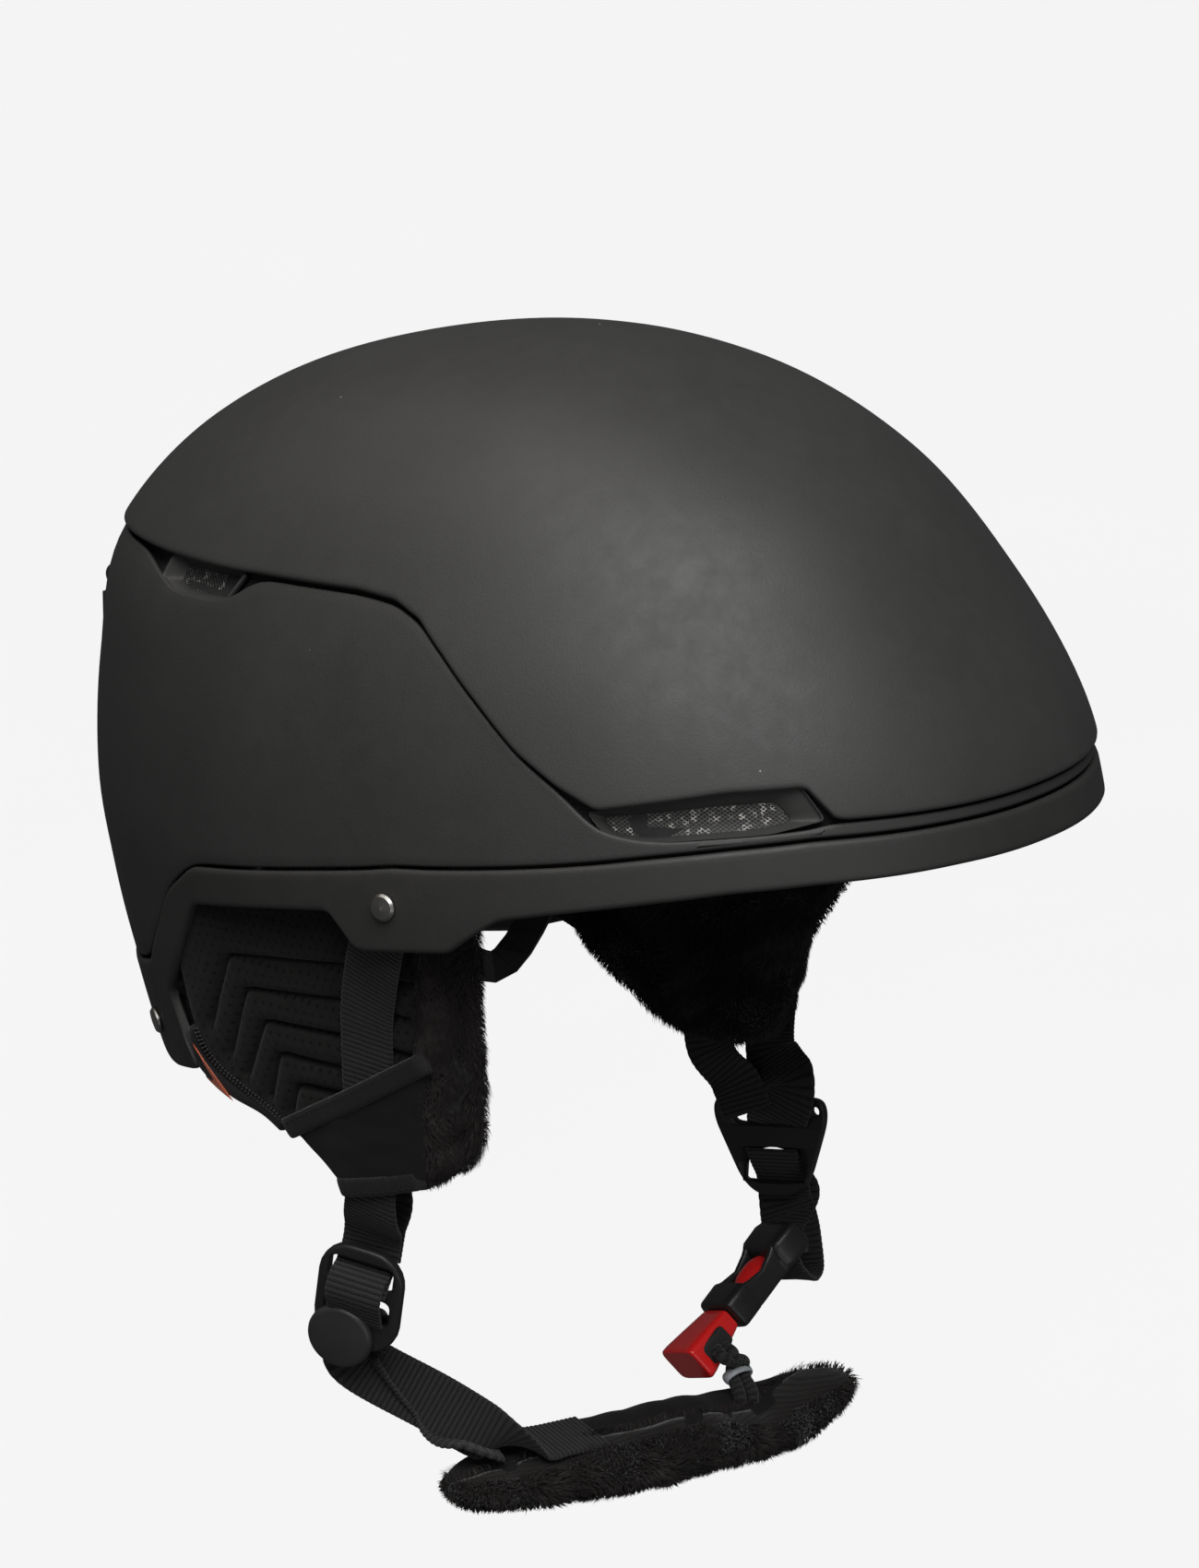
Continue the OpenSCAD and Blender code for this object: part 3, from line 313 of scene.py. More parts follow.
def clothMaterial(name, colour, rough=0.9, sheen=0.3, weave=2600, depth=0.25, variation=0.25, fuzz=0.0):
    # knit or brushed cloth: crossed fine threads, uneven dye, soft sheen
    mat, tree, bsdf = startMaterial(name)
    co = objectCoords(tree)
    threads = []
    for axis in ("X", "Y", "Z"):
        w = node(tree, "ShaderNodeTexWave", Scale=weave / 6.283, Distortion=0.6, Detail=1.0)
        w.bands_direction = axis
        link(tree, co, w.inputs["Vector"])
        threads.append(w.outputs["Fac"])
    woven = math2(tree, "MULTIPLY", math2(tree, "ADD", threads[0], threads[1]),
                  math2(tree, "ADD", threads[2], 0.4))
    dye = noiseTexture(tree, co, 45, 4)
    fine = noiseTexture(tree, co, 900, 3)
    mix = math2(tree, "ADD", math2(tree, "MULTIPLY", dye, 0.6), math2(tree, "MULTIPLY", fine, 0.4))
    link(tree, ramp(tree, mix, [(0.3, scaled(colour, 1 - variation)),
                                (0.7, scaled(colour, 1 + variation))]), bsdf.inputs["Base Color"])
    link(tree, mapRange(tree, fine, 0.3, 0.7, rough - 0.06, min(rough + 0.05, 1)), bsdf.inputs["Roughness"])
    height = math2(tree, "ADD", math2(tree, "MULTIPLY", woven, 0.6),
                   math2(tree, "MULTIPLY", fine, 0.5 + fuzz))
    link(tree, bump(tree, height, depth, 0.0005), bsdf.inputs["Normal"])
    bsdf.inputs["Sheen Weight"].default_value = sheen
    bsdf.inputs["Sheen Roughness"].default_value = 0.45
    bsdf.inputs["Specular IOR Level"].default_value = 0.25
    return mat


def steelMaterial(name, colour=(0.34, 0.33, 0.31), rough=0.36):
    mat, tree, bsdf = startMaterial(name)
    co = objectCoords(tree)
    stain = noiseTexture(tree, co, 420, 4)
    link(tree, ramp(tree, stain, [(0.3, scaled(colour, 0.55)), (0.7, colour)]), bsdf.inputs["Base Color"])
    link(tree, mapRange(tree, stain, 0.3, 0.7, rough + 0.12, rough - 0.05), bsdf.inputs["Roughness"])
    link(tree, bump(tree, noiseTexture(tree, co, 1500, 2), 0.12, 0.0002), bsdf.inputs["Normal"])
    bsdf.inputs["Metallic"].default_value = 1.0
    return mat


shellBlack = moulded("matte shell", (0.030, 0.0298, 0.0288), rough=0.55, grain=0.10, dust=0.9,
                     specular=0.42)
lowerBlack = moulded("matte lower shell", (0.027, 0.0268, 0.026), rough=0.56, grain=0.10, dust=0.9,
                     specular=0.40)
bandBlack = moulded("rim band", (0.024, 0.0232, 0.0222), rough=0.55, grain=0.07, dust=0.4, specular=0.40)
nylonBlack = moulded("nylon", (0.020, 0.020, 0.021), rough=0.5, grain=0.12, grainScale=900)
rubberBlack = moulded("soft rubber", (0.018, 0.018, 0.018), rough=0.72, grain=0.15, grainScale=700,
                      specular=0.35)
dividerBlack = moulded("divider plastic", (0.014, 0.014, 0.0142), rough=0.44, grain=0.10, grainScale=1100,
                       specular=0.45)
buckleBlack = moulded("buckle plastic", (0.016, 0.016, 0.0165), rough=0.38, grain=0.06, specular=0.5)
buckleRed = moulded("red buckle plastic", (0.78, 0.020, 0.020), rough=0.20, grain=0.03, coat=0.35,
                    mottling=0.10)
keeperRubber = moulded("keeper rubber", (0.33, 0.35, 0.37), rough=0.42, grain=0.08, grainScale=800)
foamBlack = moulded("bead foam", (0.022, 0.022, 0.022), rough=0.85, grain=0.5, grainScale=330,
                    specular=0.25)
steel = steelMaterial("steel")
rivetSteel = steelMaterial("rivet steel", (0.42, 0.41, 0.385), 0.34)
knit = clothMaterial("smooth knit", (0.0065, 0.0063, 0.0062), rough=0.92, sheen=0.06, weave=9000,
                     depth=0.15)
linerCloth = clothMaterial("liner cloth", (0.012, 0.0115, 0.0113), rough=0.95, sheen=0.2, weave=7000,
                           depth=0.2)
satin = clothMaterial("satin binding", (0.0095, 0.0094, 0.0096), rough=0.66, sheen=0.12, weave=5200,
                      depth=0.25)
plushBase = clothMaterial("plush ground", (0.010, 0.0082, 0.0076), rough=1.0, sheen=0.2, weave=3000,
                          depth=0.4, fuzz=0.6)
tabOrange = clothMaterial("orange tab", (0.56, 0.125, 0.055), rough=0.8, sheen=0.25, weave=8000,
                          depth=0.3, variation=0.12)
print("materials made")


def plushFibre(name="plush fibre"):
    mat, tree, bsdf = startMaterial(name)
    co = objectCoords(tree)
    tuft = noiseTexture(tree, co, 160, 4, 0.6, 0.5)
    link(tree, ramp(tree, tuft, [(0.3, (0.012, 0.0098, 0.0092)), (0.55, (0.020, 0.0165, 0.0156)),
                                 (0.75, (0.030, 0.025, 0.0237))]), bsdf.inputs["Base Color"])
    link(tree, mapRange(tree, tuft, 0.2, 0.8, 0.85, 0.65), bsdf.inputs["Roughness"])
    bsdf.inputs["Sheen Weight"].default_value = 0.16
    bsdf.inputs["Sheen Roughness"].default_value = 0.4
    bsdf.inputs["Specular IOR Level"].default_value = 0.25
    return mat


plush = plushFibre()


def webbingMaterial(name, colour=(0.0075, 0.0075, 0.0078)):
    # threads run along the strap between the ribs; weave UV is in metres, u along and v across
    mat, tree, bsdf = startMaterial(name)
    uv = tree.nodes.new("ShaderNodeTexCoord").outputs["UV"]
    split = tree.nodes.new("ShaderNodeSeparateXYZ")
    link(tree, uv, split.inputs[0])
    across = math2(tree, "SINE", math2(tree, "MULTIPLY", split.outputs[1], 6.283 / 0.0005))
    along = math2(tree, "SINE", math2(tree, "MULTIPLY", split.outputs[0], 6.283 / 0.0007))
    height = math2(tree, "ADD", math2(tree, "MULTIPLY", across, 0.5), math2(tree, "MULTIPLY", along, 0.25))
    rib = math2(tree, "ABSOLUTE", math2(tree, "SINE", math2(tree, "MULTIPLY", split.outputs[0],
            math.pi / 0.00146)))
    co = objectCoords(tree)
    fluff = noiseTexture(tree, co, 700, 3)
    # painted shade in the weave: colour lighter on the raised threads and darker between them, with random
    # fluff
    fac = math2(tree, "ADD", math2(tree, "MULTIPLY", math2(tree, "ADD", height, 0.7), 0.35),
                math2(tree, "MULTIPLY", fluff, 0.6))
    # painted shade and highlight: colour darkened in the grooves between the ribs and lightened on their
    # crests
    fac = math2(tree, "MULTIPLY", fac, mapRange(tree, rib, 0.25, 0.85, 0.12, 1.25))
    link(tree, ramp(tree, fac, [(0.08, scaled(colour, 0.12)), (0.45, scaled(colour, 1.1)),
                                (0.95, scaled(colour, 3.4))]), bsdf.inputs["Base Color"])
    link(tree, mapRange(tree, fluff, 0.3, 0.7, 0.7, 0.86), bsdf.inputs["Roughness"])
    link(tree, bump(tree, height, 0.5, 0.00012), bsdf.inputs["Normal"])
    bsdf.inputs["Sheen Weight"].default_value = 0.15
    bsdf.inputs["Specular IOR Level"].default_value = 0.35
    return mat


webbingCloth = webbingMaterial("webbing")

# hard shells
shellLook = {"proud": 0.9, "topWall": 2.4, "rows": 46}


def closeAngles(a, b):
    # makes the second outline's angles lie near the first's
    return np.stack([(b[:, 0] - a[:, 0] + 540) % 360 - 180 + a[:, 0], b[:, 1]], -1)


def makeTopShell():
    edge = roundedOutline(panelEdge, window=2, passes=1)
    crown = np.stack([edge[:, 0], np.full(len(edge), 164.6)], -1)
    face, back = -shellLook["proud"], shellLook["topWall"] - shellLook["proud"]
    rows = []
    up = np.sin(np.linspace(0.03, 1, shellLook["rows"]) * math.pi / 2)
    for k in up[::-1]:
        m = edge * (1 - k) + crown * k
        rows.append(wallAt(m[:, 0], m[:, 1], back))
    for lift, inset in ((0.9, back), (0.1, back - 0.3), (0.0, back - 0.9), (0.0, 0.6), (0.02, 0.1),
                        (0.12, -0.35), (0.4, -0.68),
                        (0.85, -0.86), (1.5, face), (2.6, face)):
        rows.append(wallAt(edge[:, 0], edge[:, 1] + lift, inset))
    for k in up:
        m = edge * (1 - k) + crown * k
        rows.append(wallAt(m[:, 0], np.maximum(m[:, 1], edge[:, 1] + 2.7 + 3 * k), face))
    pole = lambda inset: (0, shell["crownShift"], shell["crown"] - inset)
    obj = surfaceObject("topShell", np.stack(rows), shellBlack, closedCols=True, capStart=pole(back),
                        capEnd=pole(face))
    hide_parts("top_shell")
    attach(obj, "helmet")
    return obj


def makeRing(name, low, high, face, back, material, replaced, rows, lowerEdge, upperEdge,
             corner=5):
    low, high = roundedOutline(low, window=corner), roundedOutline(high, window=corner)
    high = closeAngles(low, high)
    grid = []
    span = high - low
    length = np.maximum(np.abs(span[:, 1]), 0.5)[:, None]
    for s, inset in lowerEdge:
        p = low + span / length * s
        grid.append(wallAt(p[:, 0], p[:, 1], inset))
    for k in np.linspace(0, 1, rows)[1:-1]:
        a = lowerEdge[-1][0] + 0.6
        b = upperEdge[0][0] + 0.6
        d = a + (length - a - b) * k
        p = low + span / length * np.maximum(d, 0)
        grid.append(wallAt(p[:, 0], p[:, 1], face))
    for s, inset in upperEdge:
        p = high - span / length * s
        grid.append(wallAt(p[:, 0], p[:, 1], inset))
    for k in np.linspace(1, 0, max(rows // 2, 4)):
        p = low + span * (0.04 + 0.92 * k)
        grid.append(wallAt(p[:, 0], p[:, 1], back))
    obj = surfaceObject(name, np.stack(grid), material, closedRows=True, closedCols=True)
    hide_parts(*replaced)
    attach(obj, "helmet")
    return obj


makeTopShell()
makeRing("lowerShell", [(a, z + 0.7) for a, z in bandTop], lowerTop, 0.9, 2.9, lowerBlack,
         ["lower_shell"], 34,
         [(0.5, 2.6), (0.05, 2.0), (0.0, 1.5), (0.25, 1.05), (0.7, 0.9)],
         [(0.8, 0.9), (0.25, 1.05), (0.0, 1.5), (0.1, 2.4)])
makeRing("rimBand", rimEdge, [(a, z - 0.1) for a, z in bandTop], 0.3, 2.9, bandBlack,
         ["rim_band"], 16,
         [(0.6, 2.9), (0.1, 2.3), (0.0, 1.5), (0.2, 0.75), (0.8, 0.35), (1.5, 0.3)],
         [(1.4, 0.3), (0.6, 0.45), (0.15, 0.9), (0.0, 1.6), (0.2, 2.6)], corner=2)
print("shells made")

# camera, light, floor
view = {"azimuth": -55.0, "elevation": 14.8, "distance": 1.5, "target": (0, 0, 0.045), "lens": 131.2}


def fromView(azimuth, elevation, distance):
    a, e = math.radians(azimuth), math.radians(elevation)
    return Vector((math.sin(a) * math.cos(e), -math.cos(a) * math.cos(e), math.sin(e))) * distance


def makeCamera():
    back = fromView(view["azimuth"], view["elevation"], 1)
    cam = bpy.data.cameras.new("camera")
    cam.lens, cam.sensor_width, cam.sensor_fit = view["lens"], 36.0, "AUTO"
    obj = newObject("camera", cam)
    obj.location = Vector(view["target"]) + back * view["distance"]
    obj.rotation_mode = "QUATERNION"
    obj.rotation_quaternion = (-back).to_track_quat("-Z", "Y")
    cam.clip_start, cam.clip_end = 0.05, 30
    bpy.context.scene.camera = obj


def areaLight(name, where, aim, size, power, colour=(1, 1, 1)):
    data = bpy.data.lights.new(name, "AREA")
    data.shape, data.size, data.size_y, data.energy, data.color = "RECTANGLE", size[0], size[1], power, colour
    obj = newObject(name, data)
    obj.location = where
    obj.rotation_mode = "QUATERNION"
    obj.rotation_quaternion = (Vector(aim) - Vector(where)).to_track_quat("-Z", "Y")


def makeStage():
    bm = bmesh.new()
    bmesh.ops.create_grid(bm, x_segments=60, y_segments=60, size=6)
    for v in bm.verts:
        d = v.co.xy.length
        v.co.z = -0.30 + max(0.0, d - 2.2) ** 2 * 0.5
    mesh = bpy.data.meshes.new("floor")
    bm.to_mesh(mesh)
    bm.free()
    obj = newObject("floor", mesh)
    mat, tree, bsdf = startMaterial("floor")
    co = objectCoords(tree)
    pale = ramp(tree, noiseTexture(tree, co, 3), [(0.3, (0.895, 0.895, 0.895)),
            (0.7, (0.905, 0.905, 0.905))])
    link(tree, pale, bsdf.inputs["Emission Color"])
    bsdf.inputs["Emission Strength"].default_value = 1.0
    bsdf.inputs["Base Color"].default_value = (0.02, 0.02, 0.02, 1)
    bsdf.inputs["Roughness"].default_value = 1.0
    bsdf.inputs["Specular IOR Level"].default_value = 0.0
    mesh.materials.append(mat)
    mesh.shade_smooth()
    # the floor shows pale but throws no light back on the helmet
    obj.visible_diffuse = obj.visible_glossy = obj.visible_transmission = obj.visible_shadow = False
    world = bpy.data.worlds.new("studio")
    world.use_nodes = True
    world.node_tree.nodes["Background"].inputs[0].default_value = (0.9, 0.92, 0.95, 1)
    world.node_tree.nodes["Background"].inputs[1].default_value = 0.075
    bpy.context.scene.world = world
    bpy.context.scene.view_settings.view_transform = "Standard"


makeCamera()
makeStage()
areaLight("key", fromView(-47, 55, 1.8), (0, -0.03, 0.06), (1.5, 1.5), 40)
areaLight("fill", fromView(-75, 8, 1.9), (0, 0, -0.02), (1.0, 1.0), 2.2)
areaLight("crownLight", fromView(-150, 66, 1.9), (0, 0, 0.1), (1.3, 1.3), 8, (1.0, 0.95, 0.88))
areaLight("low", fromView(-20, -12, 1.6), (0, -0.02, -0.1), (0.8, 0.8), 2.5)
print("stage made")

# frames of the pads, dividers, buckle and chin pad
def unit(v):
    v = np.asarray(v, float)
    return v / np.linalg.norm(v, axis=-1, keepdims=True)


def plateFrame(down, out):
    # columns X across, Y down, Z out
    y = unit(down)
    out = np.asarray(out, float)
    z = unit(out - (out @ y) * y)
    return np.stack([np.cross(y, z), y, z])


def inFrame(f, at, p):
    return np.asarray(at, float) + np.asarray(p, float) @ f


ear = {"origin": (96, 20, 30), "lean": math.radians(9.1), "foam": 9.0, "liningFront": 11.4,
       "liningBack": 20.4}


def padPoints(y, z, out, side=1):
    y, z, out = np.broadcast_arrays(np.asarray(y, float), np.asarray(z, float), np.asarray(out, float))
    c, s = math.cos(ear["lean"]), math.sin(ear["lean"])
    p = np.stack([ear["origin"][0] + out * c + z * s, ear["origin"][1] + y,
                  ear["origin"][2] + z * c - out * s], -1)
    return p * [side, 1, 1]


rightDivider = {"at": (-78, 21, -77), "frame": plateFrame([0.1, 0.22, -0.95], [-1, -0.25, -0.15])}
leftDivider = {"at": (81, -3, -74), "frame": plateFrame([-0.05, -0.12, -1], [1, 0.12, 0.05])}
buckle = {"at": (63, -18, -94)}
buckleZ = unit([-0.821, 0.104, -0.561])
buckleFace = np.array([-0.613, 0.441, 0.651])
buckleY = unit(buckleFace - (buckleFace @ buckleZ) * buckleZ)
buckle["frame"] = np.stack([np.cross(buckleY, buckleZ), buckleY, buckleZ])
chinX = unit([0.956, -0.292, -0.058])
chinBack = unit(np.cross([0, 0, 1], chinX) + np.array([0, 0, 0.2]))
chin = {"at": (0, -17, -135.5), "frame": plateFrame(chinBack, np.cross(chinX, chinBack)), "length": 138,
        "sleeveTop": 5.5}
atRight = lambda y, z: inFrame(rightDivider["frame"], rightDivider["at"], [0, y, z])
atLeft = lambda y, z: inFrame(leftDivider["frame"], leftDivider["at"], [0, y, z])
inLeft = lambda x, y, z: inFrame(leftDivider["frame"], leftDivider["at"], [x, y, z])
onPad = lambda s, up: inFrame(chin["frame"], chin["at"], [s * chin["length"], 0, chin["sleeveTop"] + up])
buckleAt = lambda p: inFrame(buckle["frame"], buckle["at"], p)


# closed soft shapes
def lengthAlong(p):
    return np.concatenate([[0], np.cumsum(np.linalg.norm(np.diff(p, axis=0), axis=1))])


def outlineLoop(points, count=240, rounding=3.0):
    # evenly spaced points round a closed outline with its corners rounded
    p = np.array(points, float)
    q = np.concatenate([p, p[:1]])
    d = lengthAlong(q)
    u = np.linspace(0, d[-1], count, endpoint=False)
    loop = np.stack([np.interp(u, d, q[:, k]) for k in (0, 1)], -1)
    half = max(int(rounding / (d[-1] / count)), 1)
    for _ in range(2):
        loop = np.mean([np.roll(loop, k, axis=0) for k in range(-half, half + 1)], axis=0)
    return loop


def distanceTo(points, line, closed=False):
    # shortest distance from each (y, z) to a line of points
    a = np.array(line, float)
    b = np.roll(a, -1, axis=0) if closed else a[1:]
    a = a if closed else a[:-1]
    best = np.full(points.shape[:-1], 1e9)
    for p, q in zip(a, b):
        d = q - p
        t = np.clip(((points - p) @ d) / max(d @ d, 1e-9), 0, 1)
        best = np.minimum(best, np.linalg.norm(points - p - t[..., None] * d, axis=-1))
    return best


def smoothNoise(p, scale, seed=0):
    # cheap sum of sines, repeatable, about -1 to 1
    r = np.random.default_rng(seed)
    total = np.zeros(p.shape[:-1])
    for _ in range(7):
        k = r.normal(size=p.shape[-1])
        total += np.sin((p @ k) / scale + r.uniform(0, 6.28))
    return total / 3.2


def cushion(name, outline, front, back, material, place, edge=6.0, relief=None, backRelief=None, rows=60,
            centre=None):
    # a stuffed piece: an outline between two depths, its faces rolled over at the edge
    loop = np.asarray(outline)
    centre = np.mean(loop, axis=0) if centre is None else np.array(centre, float)
    middle, half = (front + back) / 2, (front - back) / 2
    s = np.sort(np.concatenate([np.linspace(0.02, 0.9, rows - 14),
                                1 - np.linspace(0, 0.1, 15)[::-1] ** 1.6 / 0.1 ** 0.6]))
    flat = centre + (loop[None] - centre) * s[:, None, None]
    d = distanceTo(flat, loop, closed=True)
    d[-1] = 0
    dome = np.sqrt(np.clip(1 - (1 - np.minimum(d / edge, 1)) ** 2, 0, 1))
    f = middle + half * dome + (relief(flat) * np.minimum(d / 2, 1) if relief else 0)
    b = middle - half * dome + (backRelief(flat) * np.minimum(d / 2, 1) if backRelief else 0)
    pts = np.concatenate([place(flat[..., 0], flat[..., 1], f),
                          place(flat[..., 0], flat[..., 1], b)[::-1][1:]])
    uv = np.concatenate([flat, flat[::-1][1:]]) / 1000
    c = np.array([centre])
    capF = place(centre[0], centre[1], middle + half + (relief(c)[0] if relief else 0))
    capB = place(centre[0], centre[1], middle - half + (backRelief(c)[0] if backRelief else 0))
    return surfaceObject(name, pts, material, closedCols=True, uv=uv, capStart=capF, capEnd=capB)


# short pile
def makeFur(name, base, count, length, width, material, comb, body, clump=0.8, seed=3, keep=None):
    # tapered fibres standing on a base piece, leaning along comb and gathered in soft tufts
    r = np.random.default_rng(seed)
    mesh = base.data
    mesh.calc_loop_triangles()
    n = len(mesh.loop_triangles)
    tri = np.empty(n * 3, dtype=np.int32)
    mesh.loop_triangles.foreach_get("vertices", tri)
    tri = tri.reshape(-1, 3)
    co = np.empty(len(mesh.vertices) * 3)
    mesh.vertices.foreach_get("co", co)
    co = co.reshape(-1, 3) * 1000
    a, b, c = co[tri[:, 0]], co[tri[:, 1]], co[tri[:, 2]]
    nor = np.cross(b - a, c - a)
    area = np.linalg.norm(nor, axis=1)
    nor /= np.maximum(area, 1e-12)[:, None]
    if keep is not None:
        area = area * keep((a + b + c) / 3, nor)
    pick = r.choice(n, count, p=area / area.sum())
    u, v = r.random(count), r.random(count)
    flip = u + v > 1
    u[flip], v[flip] = 1 - u[flip], 1 - v[flip]
    root = a[pick] + (b - a)[pick] * u[:, None] + (c - a)[pick] * v[:, None]
    up = nor[pick]
    lie = np.stack([smoothNoise(root, 5.0, seed + k) for k in (1, 2, 3)], -1) * clump + np.asarray(comb,
            float)
    lie += r.normal(scale=0.28, size=lie.shape)
    lie -= (lie * up).sum(1)[:, None] * up
    long = length * r.uniform(0.65, 1.25, count)[:, None]
    mid = root + up * long * 0.42 + lie * long * 0.22
    tip = mid + up * long * 0.22 + lie * long * 0.55
    side = unit(np.cross(up, lie + r.normal(scale=0.4, size=lie.shape)))
    w = width * r.uniform(0.7, 1.3, count)[:, None] / 2
    root = root - up * 0.4
    verts = np.stack([root - side * w, root + side * w, mid + side * w * 0.9, mid - side * w * 0.9, tip],
                     1).reshape(-1, 3) / 1000
    k = np.arange(count)[:, None] * 5
    quads = k + np.array([0, 1, 2, 3])
    tris = k + np.array([3, 2, 4])
    fur = bpy.data.meshes.new(name)
    fur.vertices.add(len(verts))
    fur.vertices.foreach_set("co", verts.ravel())
    loops = np.concatenate([quads, tris], 1).ravel()
    fur.loops.add(len(loops))
    fur.loops.foreach_set("vertex_index", loops.astype(np.int32))
    starts = (np.arange(count)[:, None] * 7 + np.array([0, 4])).ravel()
    fur.polygons.add(len(starts))
    fur.polygons.foreach_set("loop_start", starts.astype(np.int32))
    fur.update(calc_edges=True)
    fur.materials.append(material)
    fur.shade_smooth()
    obj = newObject(name, fur)
    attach(obj, body)
    return obj


# webbing
strap = {"width": 16.0, "thick": 1.4, "rib": 1.46, "ribHeight": 0.34, "inset": 4.2}


def splineAt(points, t):
    p = np.asarray(points, float)
    q = np.concatenate([[2 * p[0] - p[1]], p, [2 * p[-1] - p[-2]]])
    n = len(p) - 1
    x = np.clip(np.asarray(t, float) * n, 0, n - 1e-9)
    i = x.astype(int)
    u = (x - i)[:, None]
    a, b, c, d = q[i], q[i + 1], q[i + 2], q[i + 3]
    return 0.5 * (2 * b + (c - a) * u + (2 * a - 5 * b + 4 * c - d) * u * u
                  + (3 * b - a - 3 * c + d) * u ** 3)


def routeFrames(route, across, spacing):
    # centre line, width direction and face direction at even spacing along a route
    fine = splineAt(route, np.linspace(0, 1, 800))
    d = lengthAlong(fine)
    count = int(d[-1] / spacing) + 1
    t = np.interp(np.linspace(0, d[-1], count), d, np.linspace(0, 1, 800))
    p = splineAt(route, t)
    run = unit(np.gradient(p, axis=0))
    w = splineAt(across, t)
    w = unit(w - (w * run).sum(1)[:, None] * run)
    return p, run, w, np.cross(run, w), np.linspace(0, d[-1], count)


def makeWebbing(name, route, across, replaced, body="helmet", width=None, thick=None, curl=0.0,
                material=None):
    width, thick = width or strap["width"], thick or strap["thick"]
    p, run, w, h, s = routeFrames(route, across, strap["rib"] / 7)
    rib = np.abs(np.sin(math.pi * s / strap["rib"])) ** 0.6
    section = []
    half, edge = width / 2, thick / 2
    for k in np.linspace(-1, 1, 21):
        section.append((k * (half - edge), 1))
    arc = [(half - edge + edge * math.sin(a), math.cos(a)) for a in np.linspace(0.5, math.pi - 0.5, 4)]
    back = [(-x, -y) for x, y in section]
    backArc = [(-x, -y) for x, y in arc]
    loop = section + arc + back + backArc
    ys = np.array([q[0] for q in loop])
    hs = np.array([q[1] for q in loop])
    groove = strap["ribHeight"]
    lift = (edge - groove + groove * rib)[:, None] * hs[None]
    wide = ys[None] * (1 + 0.012 * (rib[:, None] - 0.5))
    bend = curl * ((ys / half) ** 2)[None]
    pts = p[:, None] + w[:, None] * wide[..., None] + h[:, None] * (lift + bend)[..., None]
    uv = np.stack([np.broadcast_to(s[:, None], lift.shape), np.broadcast_to(ys[None], lift.shape)],
                  -1) / 1000
    obj = surfaceObject(name, pts, material or webbingCloth, closedCols=True, uv=uv, capStart=p[0],
                        capEnd=p[-1])
    if replaced:
        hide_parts(*replaced)
    if body:
        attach(obj, body)
    return obj


def surfaceNormal(angle, z):
    e = wallAt(angle, z, 0.0) - wallAt(angle, z, 1.0)
    return unit(e)


frontOut, rearOut = surfaceNormal(84.5, 38.0), surfaceNormal(138.5, -15.6)
frontStack = lambda inset: wallAt(84.5, 38.0, 0.0) - inset * frontOut
rearStack = lambda inset: wallAt(138.5, -15.6, 0.0) - inset * rearOut
flips = lambda rows: [np.asarray(r, float) * [-1, 1, 1] for r in rows]
inPad = lambda y, z: np.array([math.sin(ear["lean"]) * z, y, math.cos(ear["lean"]) * z])
padPoint = lambda y, z, out: padPoints(y, z, out, 1)


